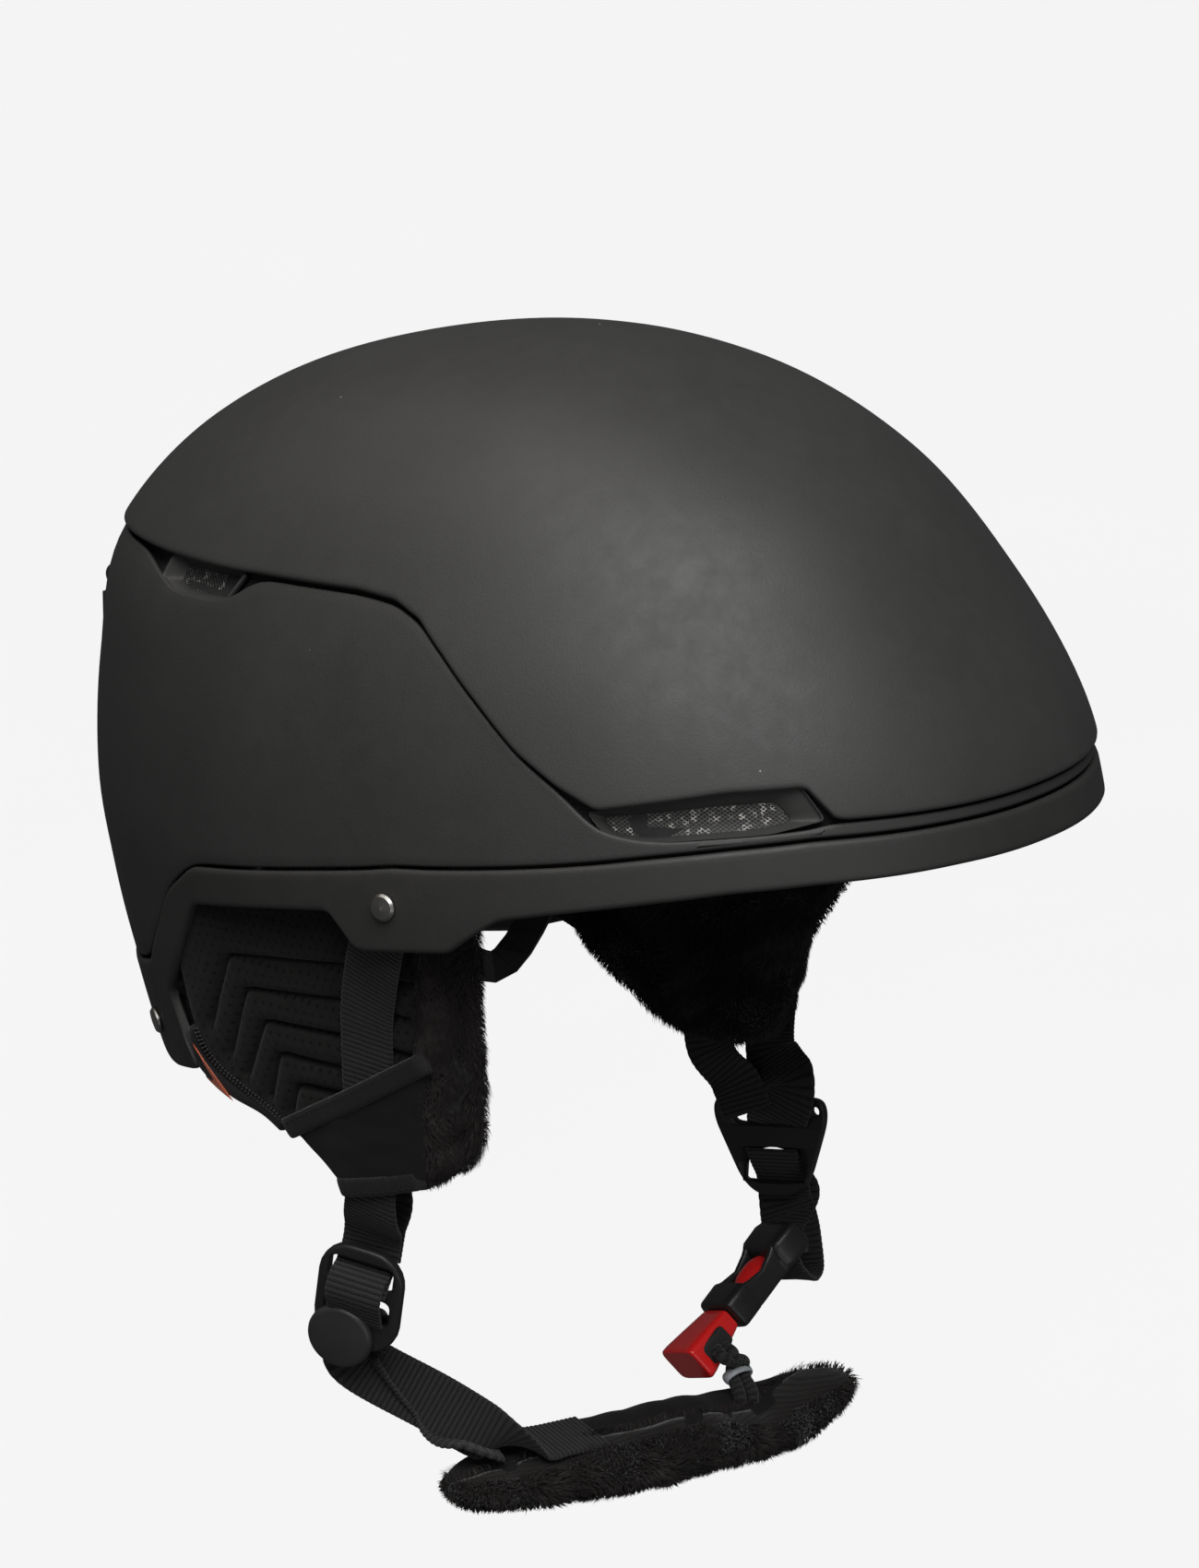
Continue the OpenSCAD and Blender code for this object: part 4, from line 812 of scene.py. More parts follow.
def makeStraps():
    si = strap["inset"]
    out = strap["thick"] / 2 + 0.3
    down = np.array([0, 0.5, -0.86])
    down = unit(down - (down @ frontOut) * frontOut)
    start = [frontStack(si) - 9 * down, frontStack(si), frontStack(si + 0.8) + 9 * down]
    first = [np.cross(frontOut, down)] * 2 + [inPad(0.9, 0.4)]
    rightX, leftX = rightDivider["frame"][0], -leftDivider["frame"][0]
    makeWebbing("frontStrapLeft", start + [padPoint(-20, -22, out + 1), padPoint(-18, -38, out),
                                           padPoint(-18, -58, out), padPoint(-19, -80, out),
                inLeft(7.5, -17, -4), inLeft(4.5, -8.2, -3.6), atLeft(-3.7, 0), atLeft(0.5, 3.5)],
                first + [inPad(1, 0.1), inPad(1, 0), inPad(1, 0), inPad(1, 0)] + [leftX] * 4,
                ["strap_front_left"])
    makeWebbing("frontStrapRight", flips(start + [padPoint(-15, -22, out + 1), padPoint(-12, -38, out),
            padPoint(-10, -58, out),
                padPoint(-7, -82, out - 0.2)]) + [atRight(-16, -4), atRight(-10, -3.6), atRight(-5.5, 0),
            atRight(-1.3, 3.5)],
                flips(first + [inPad(1, 0.15), inPad(1, 0.1), inPad(1, 0.1),
                               inPad(1, 0.1)]) + [rightX] * 4, ["strap_front_right"])
    gap = -(ear["foam"] + 0.5 + strap["thick"] / 2)
    run = unit(np.cross(rearOut, [0, 0, 1]))
    start = [rearStack(si + 1.8) - 7 * run, rearStack(si + 0.7), rearStack(si + 1.4) + 9 * run]
    first = [np.cross(rearOut, run)] * 2 + [inPad(0.05, -1)]
    inside = lambda y: [padPoint(49, -45.5, gap), padPoint(40, -48, gap), padPoint(26, -54, gap),
                        padPoint(y + 7, -67, gap), padPoint(y, -82, gap)]
    acrossIn = [inPad(0.1, -1), inPad(0.3, -1), inPad(0.6, -0.8), inPad(0.9, -0.4), inPad(1, 0)]
    makeWebbing("rearStrapLeft", start + inside(-7) + [inLeft(-8, -17, -6.5), inLeft(-5, -8, -5.6)],
                first + acrossIn + [leftX] * 2, ["strap_rear_left"])
    makeWebbing("rearStrapRight", flips(start + inside(-4)) + [atRight(-17, -6.5), atRight(-8, -5.6)],
                flips(first + acrossIn) + [rightX] * 2, ["strap_rear_right"])
    # the chin strap's two ends, through the dividers
    padY = chin["frame"][1]
    slotMid = 0.9 + strap["thick"] / 2 + 0.6
    middle = (atRight(24, -4.5) + onPad(-0.4, 9)) / 2 + [3, 0, -3]
    right = makeWebbing("chinStrapRight", [atRight(2.2, 2.9), atRight(4.6, 0.1), atRight(8.6, -3.1),
                                           atRight(16, -3.6), atRight(24, -4.5), middle,
                        onPad(-0.4, 7), onPad(-0.31, slotMid + 0.4), onPad(-0.25, slotMid),
                                           onPad(-0.16, slotMid)],
                        [rightX] * 3 + [np.array([-0.4, 0.8, -0.2]), np.array([-0.504, 0.5, -0.6]),
                                        np.array([-0.504, 0.45, -0.65]),
                                        np.array([-0.3, 0.75, -0.5])] + [padY] * 3, ["chin_strap_right"],
                        body=None)
    tuple(atRight(10, -3.2) / 1000)
    tuple(onPad(-0.36, 4) / 1000)
    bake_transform(right)
    bx = -buckle["frame"][0]
    drop = [atLeft(2.8, -2.9), atLeft(7.6, 0), atLeft(12.5, 2.9), atLeft(20, 4),
            np.array([78.5, -11, -101]), np.array([75.5, -14, -108.5]),
            np.array([69.5, -16.5, -109]), np.array([63.0, -17.8, -103]), buckleAt([0, -1.5, 5.2]),
            buckleAt([0, 1, 5.2])]
    face = np.array([-0.3, 0.95, -0.1])
    makeWebbing("chinStrapLeft", drop, [leftX] * 3 + [leftX * 0.5 + face * 0.5, face, face,
            bx * 0.5 + face * 0.5] + [bx] * 3, ["chin_strap_left"])
    # the webbing is turned back on itself: over the ring's bar and over the plate
    makeWebbing("ringFold", [atRight(9.2, -1.7), atRight(8.2, 1.4), atRight(4.5, 3.4), atRight(-0.8, 5.6),
                             atRight(-5.4, 3.6), atRight(-7.0, -0.4)],
                [rightX * 1.0] * 6, [], width=15.4)
    makeWebbing("plateFold", [atLeft(5, 4.6), atLeft(11, 6.4), inLeft(1.5, 18, 7),
                              np.array([77.0, -7.5, -100]), np.array([70.0, -13, -101]),
                np.array([63.5, -16, -97])], [leftX, leftX, leftX * 0.7 + face * 0.5,
                                              face * 0.6 + bx * 0.5, bx, bx], [], width=14.6)
    # second layer of the right strap, lying behind the first and opening away from it
    tail = [atRight(8.5, -5.2), atRight(15, -6.4), atRight(24, -8.5), middle + [1.5, 7, -5],
            onPad(-0.43, 5) + [2, 6, 0], onPad(-0.37, 2.0) + [0, 3, 0]]
    back = makeWebbing("strapTail", tail, [rightX, rightX, np.array([0.35, 1, 0.1]),
                                           np.array([0.5, 1, 0.2]), padY, padY], [], body=None)
    tuple(atRight(10, -3.2) / 1000)
    tuple(onPad(-0.36, 4) / 1000)
    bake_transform(back)


makeStraps()
print("webbing made")

# vents
frontVent = {"outer": [(56.2, 67.4), (49.4, 70.4), (41, 73.2), (31.4, 74.6), (29.2, 66.2), (35.3, 63.4),
                       (43.4, 62.0), (49.4, 60.7), (53.8, 61.6)],
             "inner": [(54.6, 66.3), (49, 67.8), (41, 70.0), (34.2, 71.0), (32.6, 66.4), (36.5, 64.6),
                       (43.4, 63.2), (49.4, 62.0), (53.2, 62.8)],
             "deep": 4.9, "lip": 1.0}
rearVent = {"outer": [(121.6, 110.8), (129, 110.4), (138.8, 109.9), (138.6, 103.6), (134.2, 101.8),
                      (128, 102.2), (123.2, 102.6)],
            "inner": [(124.0, 109.9), (129, 109.6), (136.4, 109.2), (136.6, 105.2), (133.4, 103.9),
                      (128, 104.2), (125.0, 104.8)],
            "deep": 5.0, "lip": 1.2}


def wireMesh():
    # fine diagonal wire over dark foam, with painted glints: bright flecks where the wires would catch the
    # light;
    # the holes between the wires are painted near black as painted shade; the weave UV is in metres
    mat, tree, bsdf = startMaterial("vent mesh")
    uv = tree.nodes.new("ShaderNodeTexCoord").outputs["UV"]
    co = objectCoords(tree)
    split = tree.nodes.new("ShaderNodeSeparateXYZ")
    link(tree, uv, split.inputs[0])
    pitch = 0.0013
    a = math2(tree, "ADD", split.outputs[0], math2(tree, "MULTIPLY", split.outputs[1], 1.3))
    b = math2(tree, "SUBTRACT", split.outputs[0], math2(tree, "MULTIPLY", split.outputs[1], 1.3))
    wires = [math2(tree, "ABSOLUTE", math2(tree, "SINE", math2(tree, "MULTIPLY", v,
            math.pi / pitch))) for v in (a, b)]
    near = math2(tree, "MINIMUM", wires[0], wires[1])
    wire = mapRange(tree, near, 0.30, 0.62, 1, 0)
    v = node(tree, "ShaderNodeTexVoronoi", Scale=900.0)
    link(tree, co, v.inputs["Vector"])
    # painted glints: bright flecks on the wires where they would catch the light, made patchy below
    paintedGlint = math2(tree, "MULTIPLY", mapRange(tree, noiseTexture(tree, v.outputs["Position"], 5000, 0),
                                             0.60, 0.70, 0, 1), wire, clamp=True)
    patchy = mapRange(tree, noiseTexture(tree, co, 130, 3), 0.38, 0.6, 0.3, 1)
    paintedGlint = math2(tree, "MULTIPLY", paintedGlint, patchy)
    # the holes between the wires are painted near black, darker than the foam behind them: painted shade
    base = ramp(tree, wire, [(0.1, (0.0015, 0.0015, 0.0015)), (0.9, (0.075, 0.073, 0.070))])
    m = node(tree, "ShaderNodeMix", data_type="RGBA")
    link(tree, paintedGlint, m.inputs[0])
    link(tree, base, m.inputs[6])
    m.inputs[7].default_value = (0.62, 0.60, 0.56, 1)
    link(tree, m.outputs[2], bsdf.inputs["Base Color"])
    link(tree, mapRange(tree, paintedGlint, 0, 1, 0.5, 0.3), bsdf.inputs["Roughness"])
    link(tree, bump(tree, wire, 0.8, 0.0003), bsdf.inputs["Normal"])
    return mat


ventMesh = wireMesh()


def ventLoop(points, count=160, rounding=1.2):
    scaleTo = np.array([1.9, 1.0])
    return outlineLoop(np.array(points) * scaleTo, count, rounding) / scaleTo


def makeVent(label, vent, side, replaced):
    outer, inner = ventLoop(vent["outer"]), ventLoop(vent["inner"])
    inner = np.roll(inner, -np.argmin(np.linalg.norm((inner - outer[0]) * [1.9, 1], axis=1)), axis=0)
    mirror = np.array([side, 1, 1])
    rows = [wallAt(outer[:, 0], outer[:, 1], vent["lip"]), wallAt(outer[:, 0], outer[:, 1],
            vent["lip"] + 0.5)]
    for k, inset in ((0.12, 1.7), (0.5, 2.7), (0.88, 4.1), (0.97, 4.5), (1.0, vent["deep"] + 0.2)):
        p = outer * (1 - k) + inner * k
        rows.append(wallAt(p[:, 0], p[:, 1], inset + 0.25))
    for k, inset in ((1.0, vent["deep"] + 1.0), (0.6, 4.6), (0.0, 3.3), (-0.1, 2.0)):
        p = outer * (1 - k) + inner * k
        rows.append(wallAt(p[:, 0], p[:, 1], inset))
    frameRing = surfaceObject(label + "Frame", np.stack(rows) * mirror, shellBlack, closedRows=True,
                              closedCols=True)
    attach(frameRing, "helmet")
    # the mesh sags a little between the edges of its frame
    centre = inner.mean(0)
    grid = []
    uv = []
    for k in np.linspace(0.04, 1.06, 16):
        p = centre + (inner - centre) * k
        grid.append(wallAt(p[:, 0], p[:, 1], vent["deep"] - 0.1 + 0.35 * (1 - k * k)))
        uv.append(np.stack([p[:, 0] * 1.9, p[:, 1]], -1))
    sheet = np.stack(grid)
    n = sheet.shape[0]
    back = np.stack([wallAt(*(centre + (inner - centre) * k).T,
                            vent["deep"] + 0.6) for k in np.linspace(1.06, 0.04, n)])
    pts = np.concatenate([sheet, back]) * mirror
    uv = np.concatenate([np.stack(uv), np.stack(uv)[::-1]]) / 1000
    obj = surfaceObject(label + "Mesh", pts, ventMesh, closedCols=True, uv=uv,
                        capStart=wallAt(centre[0], centre[1], vent["deep"] + 0.25) * mirror,
                        capEnd=wallAt(centre[0], centre[1], vent["deep"] + 0.6) * mirror)
    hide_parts(*replaced)
    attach(obj, "helmet")


for side, word in ((-1, "Right"), (1, "Left")):
    makeVent("frontVent" + word, frontVent, side, ["front_vent_mesh"])
    makeVent("rearVent" + word, rearVent, side, ["rear_vent_mesh"])
print("vents made")

# ear pads
perforated = {"pitch": 2.7}


def perforatedFabric():
    # spacer fabric over foam with staggered punched holes; the weave UV is in metres
    mat, tree, bsdf = startMaterial("perforated fabric")
    uv = tree.nodes.new("ShaderNodeTexCoord").outputs["UV"]
    co = objectCoords(tree)
    wobble = node(tree, "ShaderNodeTexNoise", Scale=90.0, Detail=1.0)
    link(tree, co, wobble.inputs["Vector"])
    shift = node(tree, "ShaderNodeVectorMath", operation="SCALE")
    link(tree, wobble.outputs["Color"], shift.inputs[0])
    shift.inputs["Scale"].default_value = 0.0022
    moved = node(tree, "ShaderNodeVectorMath", operation="ADD")
    link(tree, uv, moved.inputs[0])
    link(tree, shift.outputs[0], moved.inputs[1])
    split = tree.nodes.new("ShaderNodeSeparateXYZ")
    link(tree, moved.outputs[0], split.inputs[0])
    pitch = perforated["pitch"] / 1000
    row = math2(tree, "MULTIPLY", split.outputs[1], 1 / pitch)
    rowIndex = math2(tree, "FLOOR", row)
    odd = math2(tree, "MULTIPLY", math2(tree, "MODULO", rowIndex, 2.0), 0.5)
    col = math2(tree, "ADD", math2(tree, "MULTIPLY", split.outputs[0], 1 / pitch), odd)
    dx = math2(tree, "SUBTRACT", math2(tree, "FRACT", col), 0.5)
    dy = math2(tree, "SUBTRACT", math2(tree, "FRACT", row), 0.5)
    far = math2(tree, "SQRT", math2(tree, "ADD", math2(tree, "MULTIPLY", dx, dx),
                                    math2(tree, "MULTIPLY", dy, dy)))
    hole = mapRange(tree, far, 0.16, 0.23, 1, 0)
    fine = noiseTexture(tree, co, 1500, 3)
    grainy = noiseTexture(tree, co, 420, 4)
    fac = math2(tree, "ADD", math2(tree, "MULTIPLY", fine, 0.5), math2(tree, "MULTIPLY", grainy, 0.5))
    base = ramp(tree, fac, [(0.3, (0.0045, 0.0044, 0.0042)), (0.7, (0.0135, 0.0129, 0.0122))])
    m = node(tree, "ShaderNodeMix", data_type="RGBA")
    # the punched holes are painted near black, darker than the fabric and the foam under it: painted shade in
    # the holes
    link(tree, hole, m.inputs[0])
    link(tree, base, m.inputs[6])
    m.inputs[7].default_value = (0.0012, 0.0012, 0.0012, 1)
    link(tree, m.outputs[2], bsdf.inputs["Base Color"])
    link(tree, mapRange(tree, fine, 0.3, 0.7, 0.86, 0.98), bsdf.inputs["Roughness"])
    height = math2(tree, "SUBTRACT", math2(tree, "MULTIPLY", fac, 0.6), hole)
    link(tree, bump(tree, height, 0.35, 0.00025), bsdf.inputs["Normal"])
    bsdf.inputs["Sheen Weight"].default_value = 0.08
    bsdf.inputs["Sheen Roughness"].default_value = 0.5
    bsdf.inputs["Specular IOR Level"].default_value = 0.2
    return mat


perforatedCloth = perforatedFabric()
earFace = [(-29, 5), (40, 5), (49, -5), (53, -20), (48.5, -42), (44, -53), (36, -58), (26, -61),
           (19, -66), (13, -70),
           (1, -78), (-25, -76), (-27, -60), (-29, -40)]
earBack = [(-38, 2.5), (28, 2.5), (36, -9), (42, -24), (45, -42), (34, -58), (18, -68), (2, -76),
           (-17, -77), (-27, -75), (-33, -66),
           (-34, -50), (-36, -25)]
channels = [[(40, -39), (32, -18.6), (-7, -14.6), (-28, -17)],
            [(35, -47), (27, -27), (-5, -24.6), (-28, -27)],
            [(30, -52), (22, -35), (-5, -34.6), (-28, -37)],
            [(23, -57), (18.5, -43.5), (-4, -44), (-27, -46)],
            [(16.5, -60), (13.5, -51.5), (-2, -51.5), (-10, -52.5)]]


def earRelief(p):
    # sewn channels between raised bands
    deep = np.zeros(p.shape[:-1])
    for line in channels:
        d = distanceTo(p, outlineOpen(line))
        deep += -1.9 * np.exp(-(d / 0.9) ** 2) - 0.95 * np.exp(-(d / 2.9) ** 2)
    puff = 0.9 * np.exp(-((p[..., 0] - 4) / 34) ** 2 - ((p[..., 1] + 34) / 34) ** 2)
    return deep + puff + 0.18 * smoothNoise(p, 5.5, 11)


def outlineOpen(line, rounding=2.2):
    # a polyline with its corners eased
    p = np.array(line, float)
    out = [p[0]]
    for a, b, c in zip(p[:-2], p[1:-1], p[2:]):
        u, v = unit(a - b) * rounding, unit(c - b) * rounding
        out += [b + u, b + (u + v) * 0.28, b + v]
    return out + [p[-1]]


def makeEarPad(side):
    word = "Right" if side < 0 else "Left"
    tag = word.lower()
    place = lambda y, z, out: padPoints(y, z, out - 0.011 * np.maximum(0, np.asarray(y) - 36) ** 2, side)
    face = cushion("earPad" + word, outlineLoop(earFace, 300, 3.0), 0.2, -9.0, perforatedCloth, place,
                   edge=5.0,
                   relief=earRelief, rows=76, centre=(6, -34))
    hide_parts("ear_pad_" + tag)
    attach(face, "helmet")
    # lining, rounder, with the roll of pile along the front edge
    lumps = lambda p: 0.7 * smoothNoise(p, 6.0, 5) + 0.5 * smoothNoise(p, 2.6, 6)
    brow = [(y - 14 * (y < -20) * (z > -30) * (side > 0), z + 4 * (y < -20) * (z > 0)) for y, z in earBack]
    lining = cushion("lining" + word, outlineLoop(brow, 220, 4.5), -ear["liningFront"] - 0.2,
                     -ear["liningBack"] + 0.6, plushBase, place, edge=7.5,
                     relief=lambda p: 0.3 * lumps(p), backRelief=lumps, rows=40, centre=(0, -35))
    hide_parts("ear_lining_" + tag)
    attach(lining, "helmet")
    # front roll: a fat cord of pile from the brow corner to the foot
    mid = [(-31.0, 2), (-30.0, -10), (-29.2, -22), (-28.4, -34), (-27.6, -46), (-26.4, -58), (-24.4, -67),
           (-19.5, -73)]
    line = np.array(mid, float)
    t = np.linspace(0, 1, 90)
    centreLine = splineAt(np.concatenate([line, np.zeros((len(line), 1))], 1), t)[:, :2]
    along = unit(np.gradient(centreLine, axis=0))
    acrossLine = np.stack([-along[:, 1], along[:, 0]], -1)
    a = np.linspace(0, 2 * math.pi, 48, endpoint=False)
    fat = 3.3 + 0.8 * t + 0.7 * np.sin(t * 21 + 1) + 0.4 * np.sin(t * 47)
    taper = np.minimum(1, np.minimum((t + 0.02) / 0.05, (1.02 - t) / 0.09)) ** 0.5
    w = (fat * taper)[:, None] * np.cos(a)[None]
    d = -8.6 + (7.6 * taper)[:, None] * np.sin(a)[None]
    flat = centreLine[:, None] + acrossLine[:, None] * w[..., None]
    bulge = 0.5 * smoothNoise(np.concatenate([flat, d[..., None]], -1), 3.0, 8)
    pts = place(flat[..., 0] + bulge * 0.6, flat[..., 1], d + bulge)
    roll = surfaceObject("frontRoll" + word, pts, plushBase, closedCols=True,
                         capStart=place(centreLine[0, 0], centreLine[0, 1] + 0.5, -10.8),
                         capEnd=place(centreLine[-1, 0] + 0.5, centreLine[-1, 1] - 0.4, -10.8))
    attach(roll, "helmet")
    down = np.array([0.0, -0.15, -0.9])
    away = lambda c, n: 0.15 + (n[:, 0] * side < 0.3)
    makeFur("rollPile" + word, roll, 26000, 2.1, 0.26, plush, down, "helmet", seed=21 + side)
    makeFur("liningPile" + word, lining, 32000, 2.5, 0.34, plush, down, "helmet", seed=31 + side, keep=away)


def stripBetween(name, a, b, width, thick, out, material, side, bow=0.0, replaced=None, fray=0.0):
    # a flat bound strip on the pad between two (y, z) points
    n, m = 70, 13
    t = np.linspace(0, 1, n)
    a, b = np.array(a, float), np.array(b, float)
    run = unit(b - a)
    across = np.array([-run[1], run[0]])
    centre = a + (b - a) * t[:, None] + across * (bow * np.sin(t * math.pi))[:, None]
    k = np.linspace(-1, 1, m)
    profile = (1 - np.abs(k) ** 3.2) ** 0.5
    lift = out(t)[:, None]
    top = lift + thick * profile[None] + 0.05 * np.sin(t * 60)[:, None] * fray
    bottom = lift - thick * 0.25 * profile[None]
    flat = centre[:, None] + across * (k * width / 2)[None, :, None]
    front = padPoints(flat[..., 0], flat[..., 1], top, side)
    back = padPoints(flat[..., 0], flat[..., 1], bottom, side)
    pts = np.concatenate([front, back[:, ::-1][:, 1:-1]], 1)
    uv = np.stack([np.broadcast_to(t[:, None] * 50, pts.shape[:2]),
                   np.broadcast_to(np.arange(pts.shape[1])[None], pts.shape[:2])], -1) / 1000
    obj = surfaceObject(name, pts, material, closedCols=True, uv=uv,
                        capStart=padPoints(a[0], a[1], out(np.array([0.0]))[0], side),
                        capEnd=padPoints(b[0], b[1], out(np.array([1.0]))[0], side))
    if replaced:
        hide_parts(*replaced)
    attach(obj, "helmet")
    return obj


def makeStitches(name, points, normals, material, long=1.5, gap=0.9, wide=0.32, high=0.2, body="helmet"):
    # a row of short thread loops along a line of points, all one mesh
    p = np.asarray(points, float)
    d = lengthAlong(p)
    count = int(d[-1] / (long + gap))
    bm = bmesh.new()
    for k in range(count):
        s0 = k * (long + gap) + gap / 2
        ts = np.linspace(s0, s0 + long, 4)
        c = np.stack([np.interp(ts, d, p[:, j]) for j in range(3)], -1)
        n = unit(np.stack([np.interp(ts, d, normals[:, j]) for j in range(3)], -1))
        s = unit(np.cross(unit(c[-1] - c[0]), n[0]))
        hump = np.array([-0.05, 1, 1, -0.05]) * high
        thread = bmesh.ops.create_grid(bm, x_segments=2, y_segments=3, size=1.0)["verts"]
        for v, (q, e) in zip(thread, [(q, e) for q in range(4) for e in (-1, 0, 1)]):
            v.co = (c[q] + n[q] * (hump[q] + (wide * 0.45 if e == 0 else 0)) + s * e * wide / 2) / 1000
    mesh = bpy.data.meshes.new(name)
    bm.to_mesh(mesh)
    bm.free()
    obj = newObject(name, mesh)
    finishMesh(obj, material)
    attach(obj, body)
    return obj


def patch(corners, n, m):
    # a grid between four corners, given in order round the patch
    a, b, c, d = (np.array(q, float) for q in corners)
    u, v = np.meshgrid(np.linspace(0, 1, n), np.linspace(0, 1, m), indexing="ij")
    low = a * (1 - u)[..., None] + b * u[..., None]
    high = d * (1 - u)[..., None] + c * u[..., None]
    return u, v, low * (1 - v)[..., None] + high * v[..., None]


def makeFlap(side):
    # knit pocket over the strap, with two bound edges and the strap's bulge in it
    word = "Right" if side < 0 else "Left"
    tag = word.lower()
    n, m = 60, 44
    u, v, flat = patch([(-30.5, -35), (18.8, -64.2), (1.5, -78.2), (-25.5, -70.6)], n, m)
    flat[..., 1] += -1.2 * np.sin(v * math.pi) * np.sin(u * math.pi)
    fromStrap = (flat[..., 0] + 9) / 11.5
    lift = 1.35 + 1.9 * np.exp(-np.clip(np.abs(fromStrap), 0, 9) ** 3.2) + 0.22 * smoothNoise(flat * [1,
            2.2], 5.5, 17)
    tuck = np.clip((u - 0.86) / 0.14, 0, 1) ** 2 * 3.0 + np.clip((0.08 - u) / 0.08, 0, 1) ** 2 * 2.2
    lift = lift - tuck
    front = padPoints(flat[..., 0], flat[..., 1], lift + 0.45, side)
    back = padPoints(flat[..., 0], flat[..., 1], lift - 0.35, side)
    pts = np.concatenate([front, back[:, ::-1][:, 1:-1]], 1)
    uv = np.concatenate([flat, flat[:, ::-1][:, 1:-1]], 1) / 1000
    mid = lambda row: pts[row].mean(0)
    obj = surfaceObject("pocket" + word, pts, knit, closedCols=True, uv=uv, capStart=mid(0), capEnd=mid(-1))
    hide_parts("ear_pocket_" + tag)
    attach(obj, "helmet")
    over = lambda p0, p1, low: (lambda t: low + 1.9 * np.exp(-np.abs((p0[0] + (p1[0] - p0[0]) * t
            + 9) / 11.5) ** 3.2)
                                - 3.4 * np.clip((t - 0.9) / 0.1, 0,
            1) ** 2 - 2.0 * np.clip((0.07 - t) / 0.07, 0, 1) ** 2)
    top0, top1 = (-30.5, -36.4), (19.6, -65.6)
    low0, low1 = (-25.0, -70.4), (2.6, -77.4)
    stripBetween("topBinding" + word, top0, top1, 6.0, 0.75, over(top0, top1, 1.9), satin, side,
                 replaced=["pocket_binding_" + tag], fray=1)
    stripBetween("footBinding" + word, low0, low1, 5.2, 0.7, over(low0, low1, 1.8), satin, side,
                 fray=1)
    t = np.linspace(0.03, 0.93, 120)
    for label, p0, p1, low, shift in (("top", top0, top1, 1.9, -1.7), ("foot", low0, low1, 1.8, 1.5)):
        p0, p1 = np.array(p0), np.array(p1)
        run = unit(p1 - p0)
        line = p0 + (p1 - p0) * t[:, None] + np.array([-run[1], run[0]]) * -shift
        out = over(p0, p1, low)(t) + 0.55
        pts = padPoints(line[:, 0], line[:, 1], out, side)
        nor = padPoints(line[:, 0], line[:, 1], out + 1, side) - pts
        makeStitches(label + "Stitches" + word, pts, nor, satin, long=1.3, gap=0.7, wide=0.4, high=0.22)
    return obj


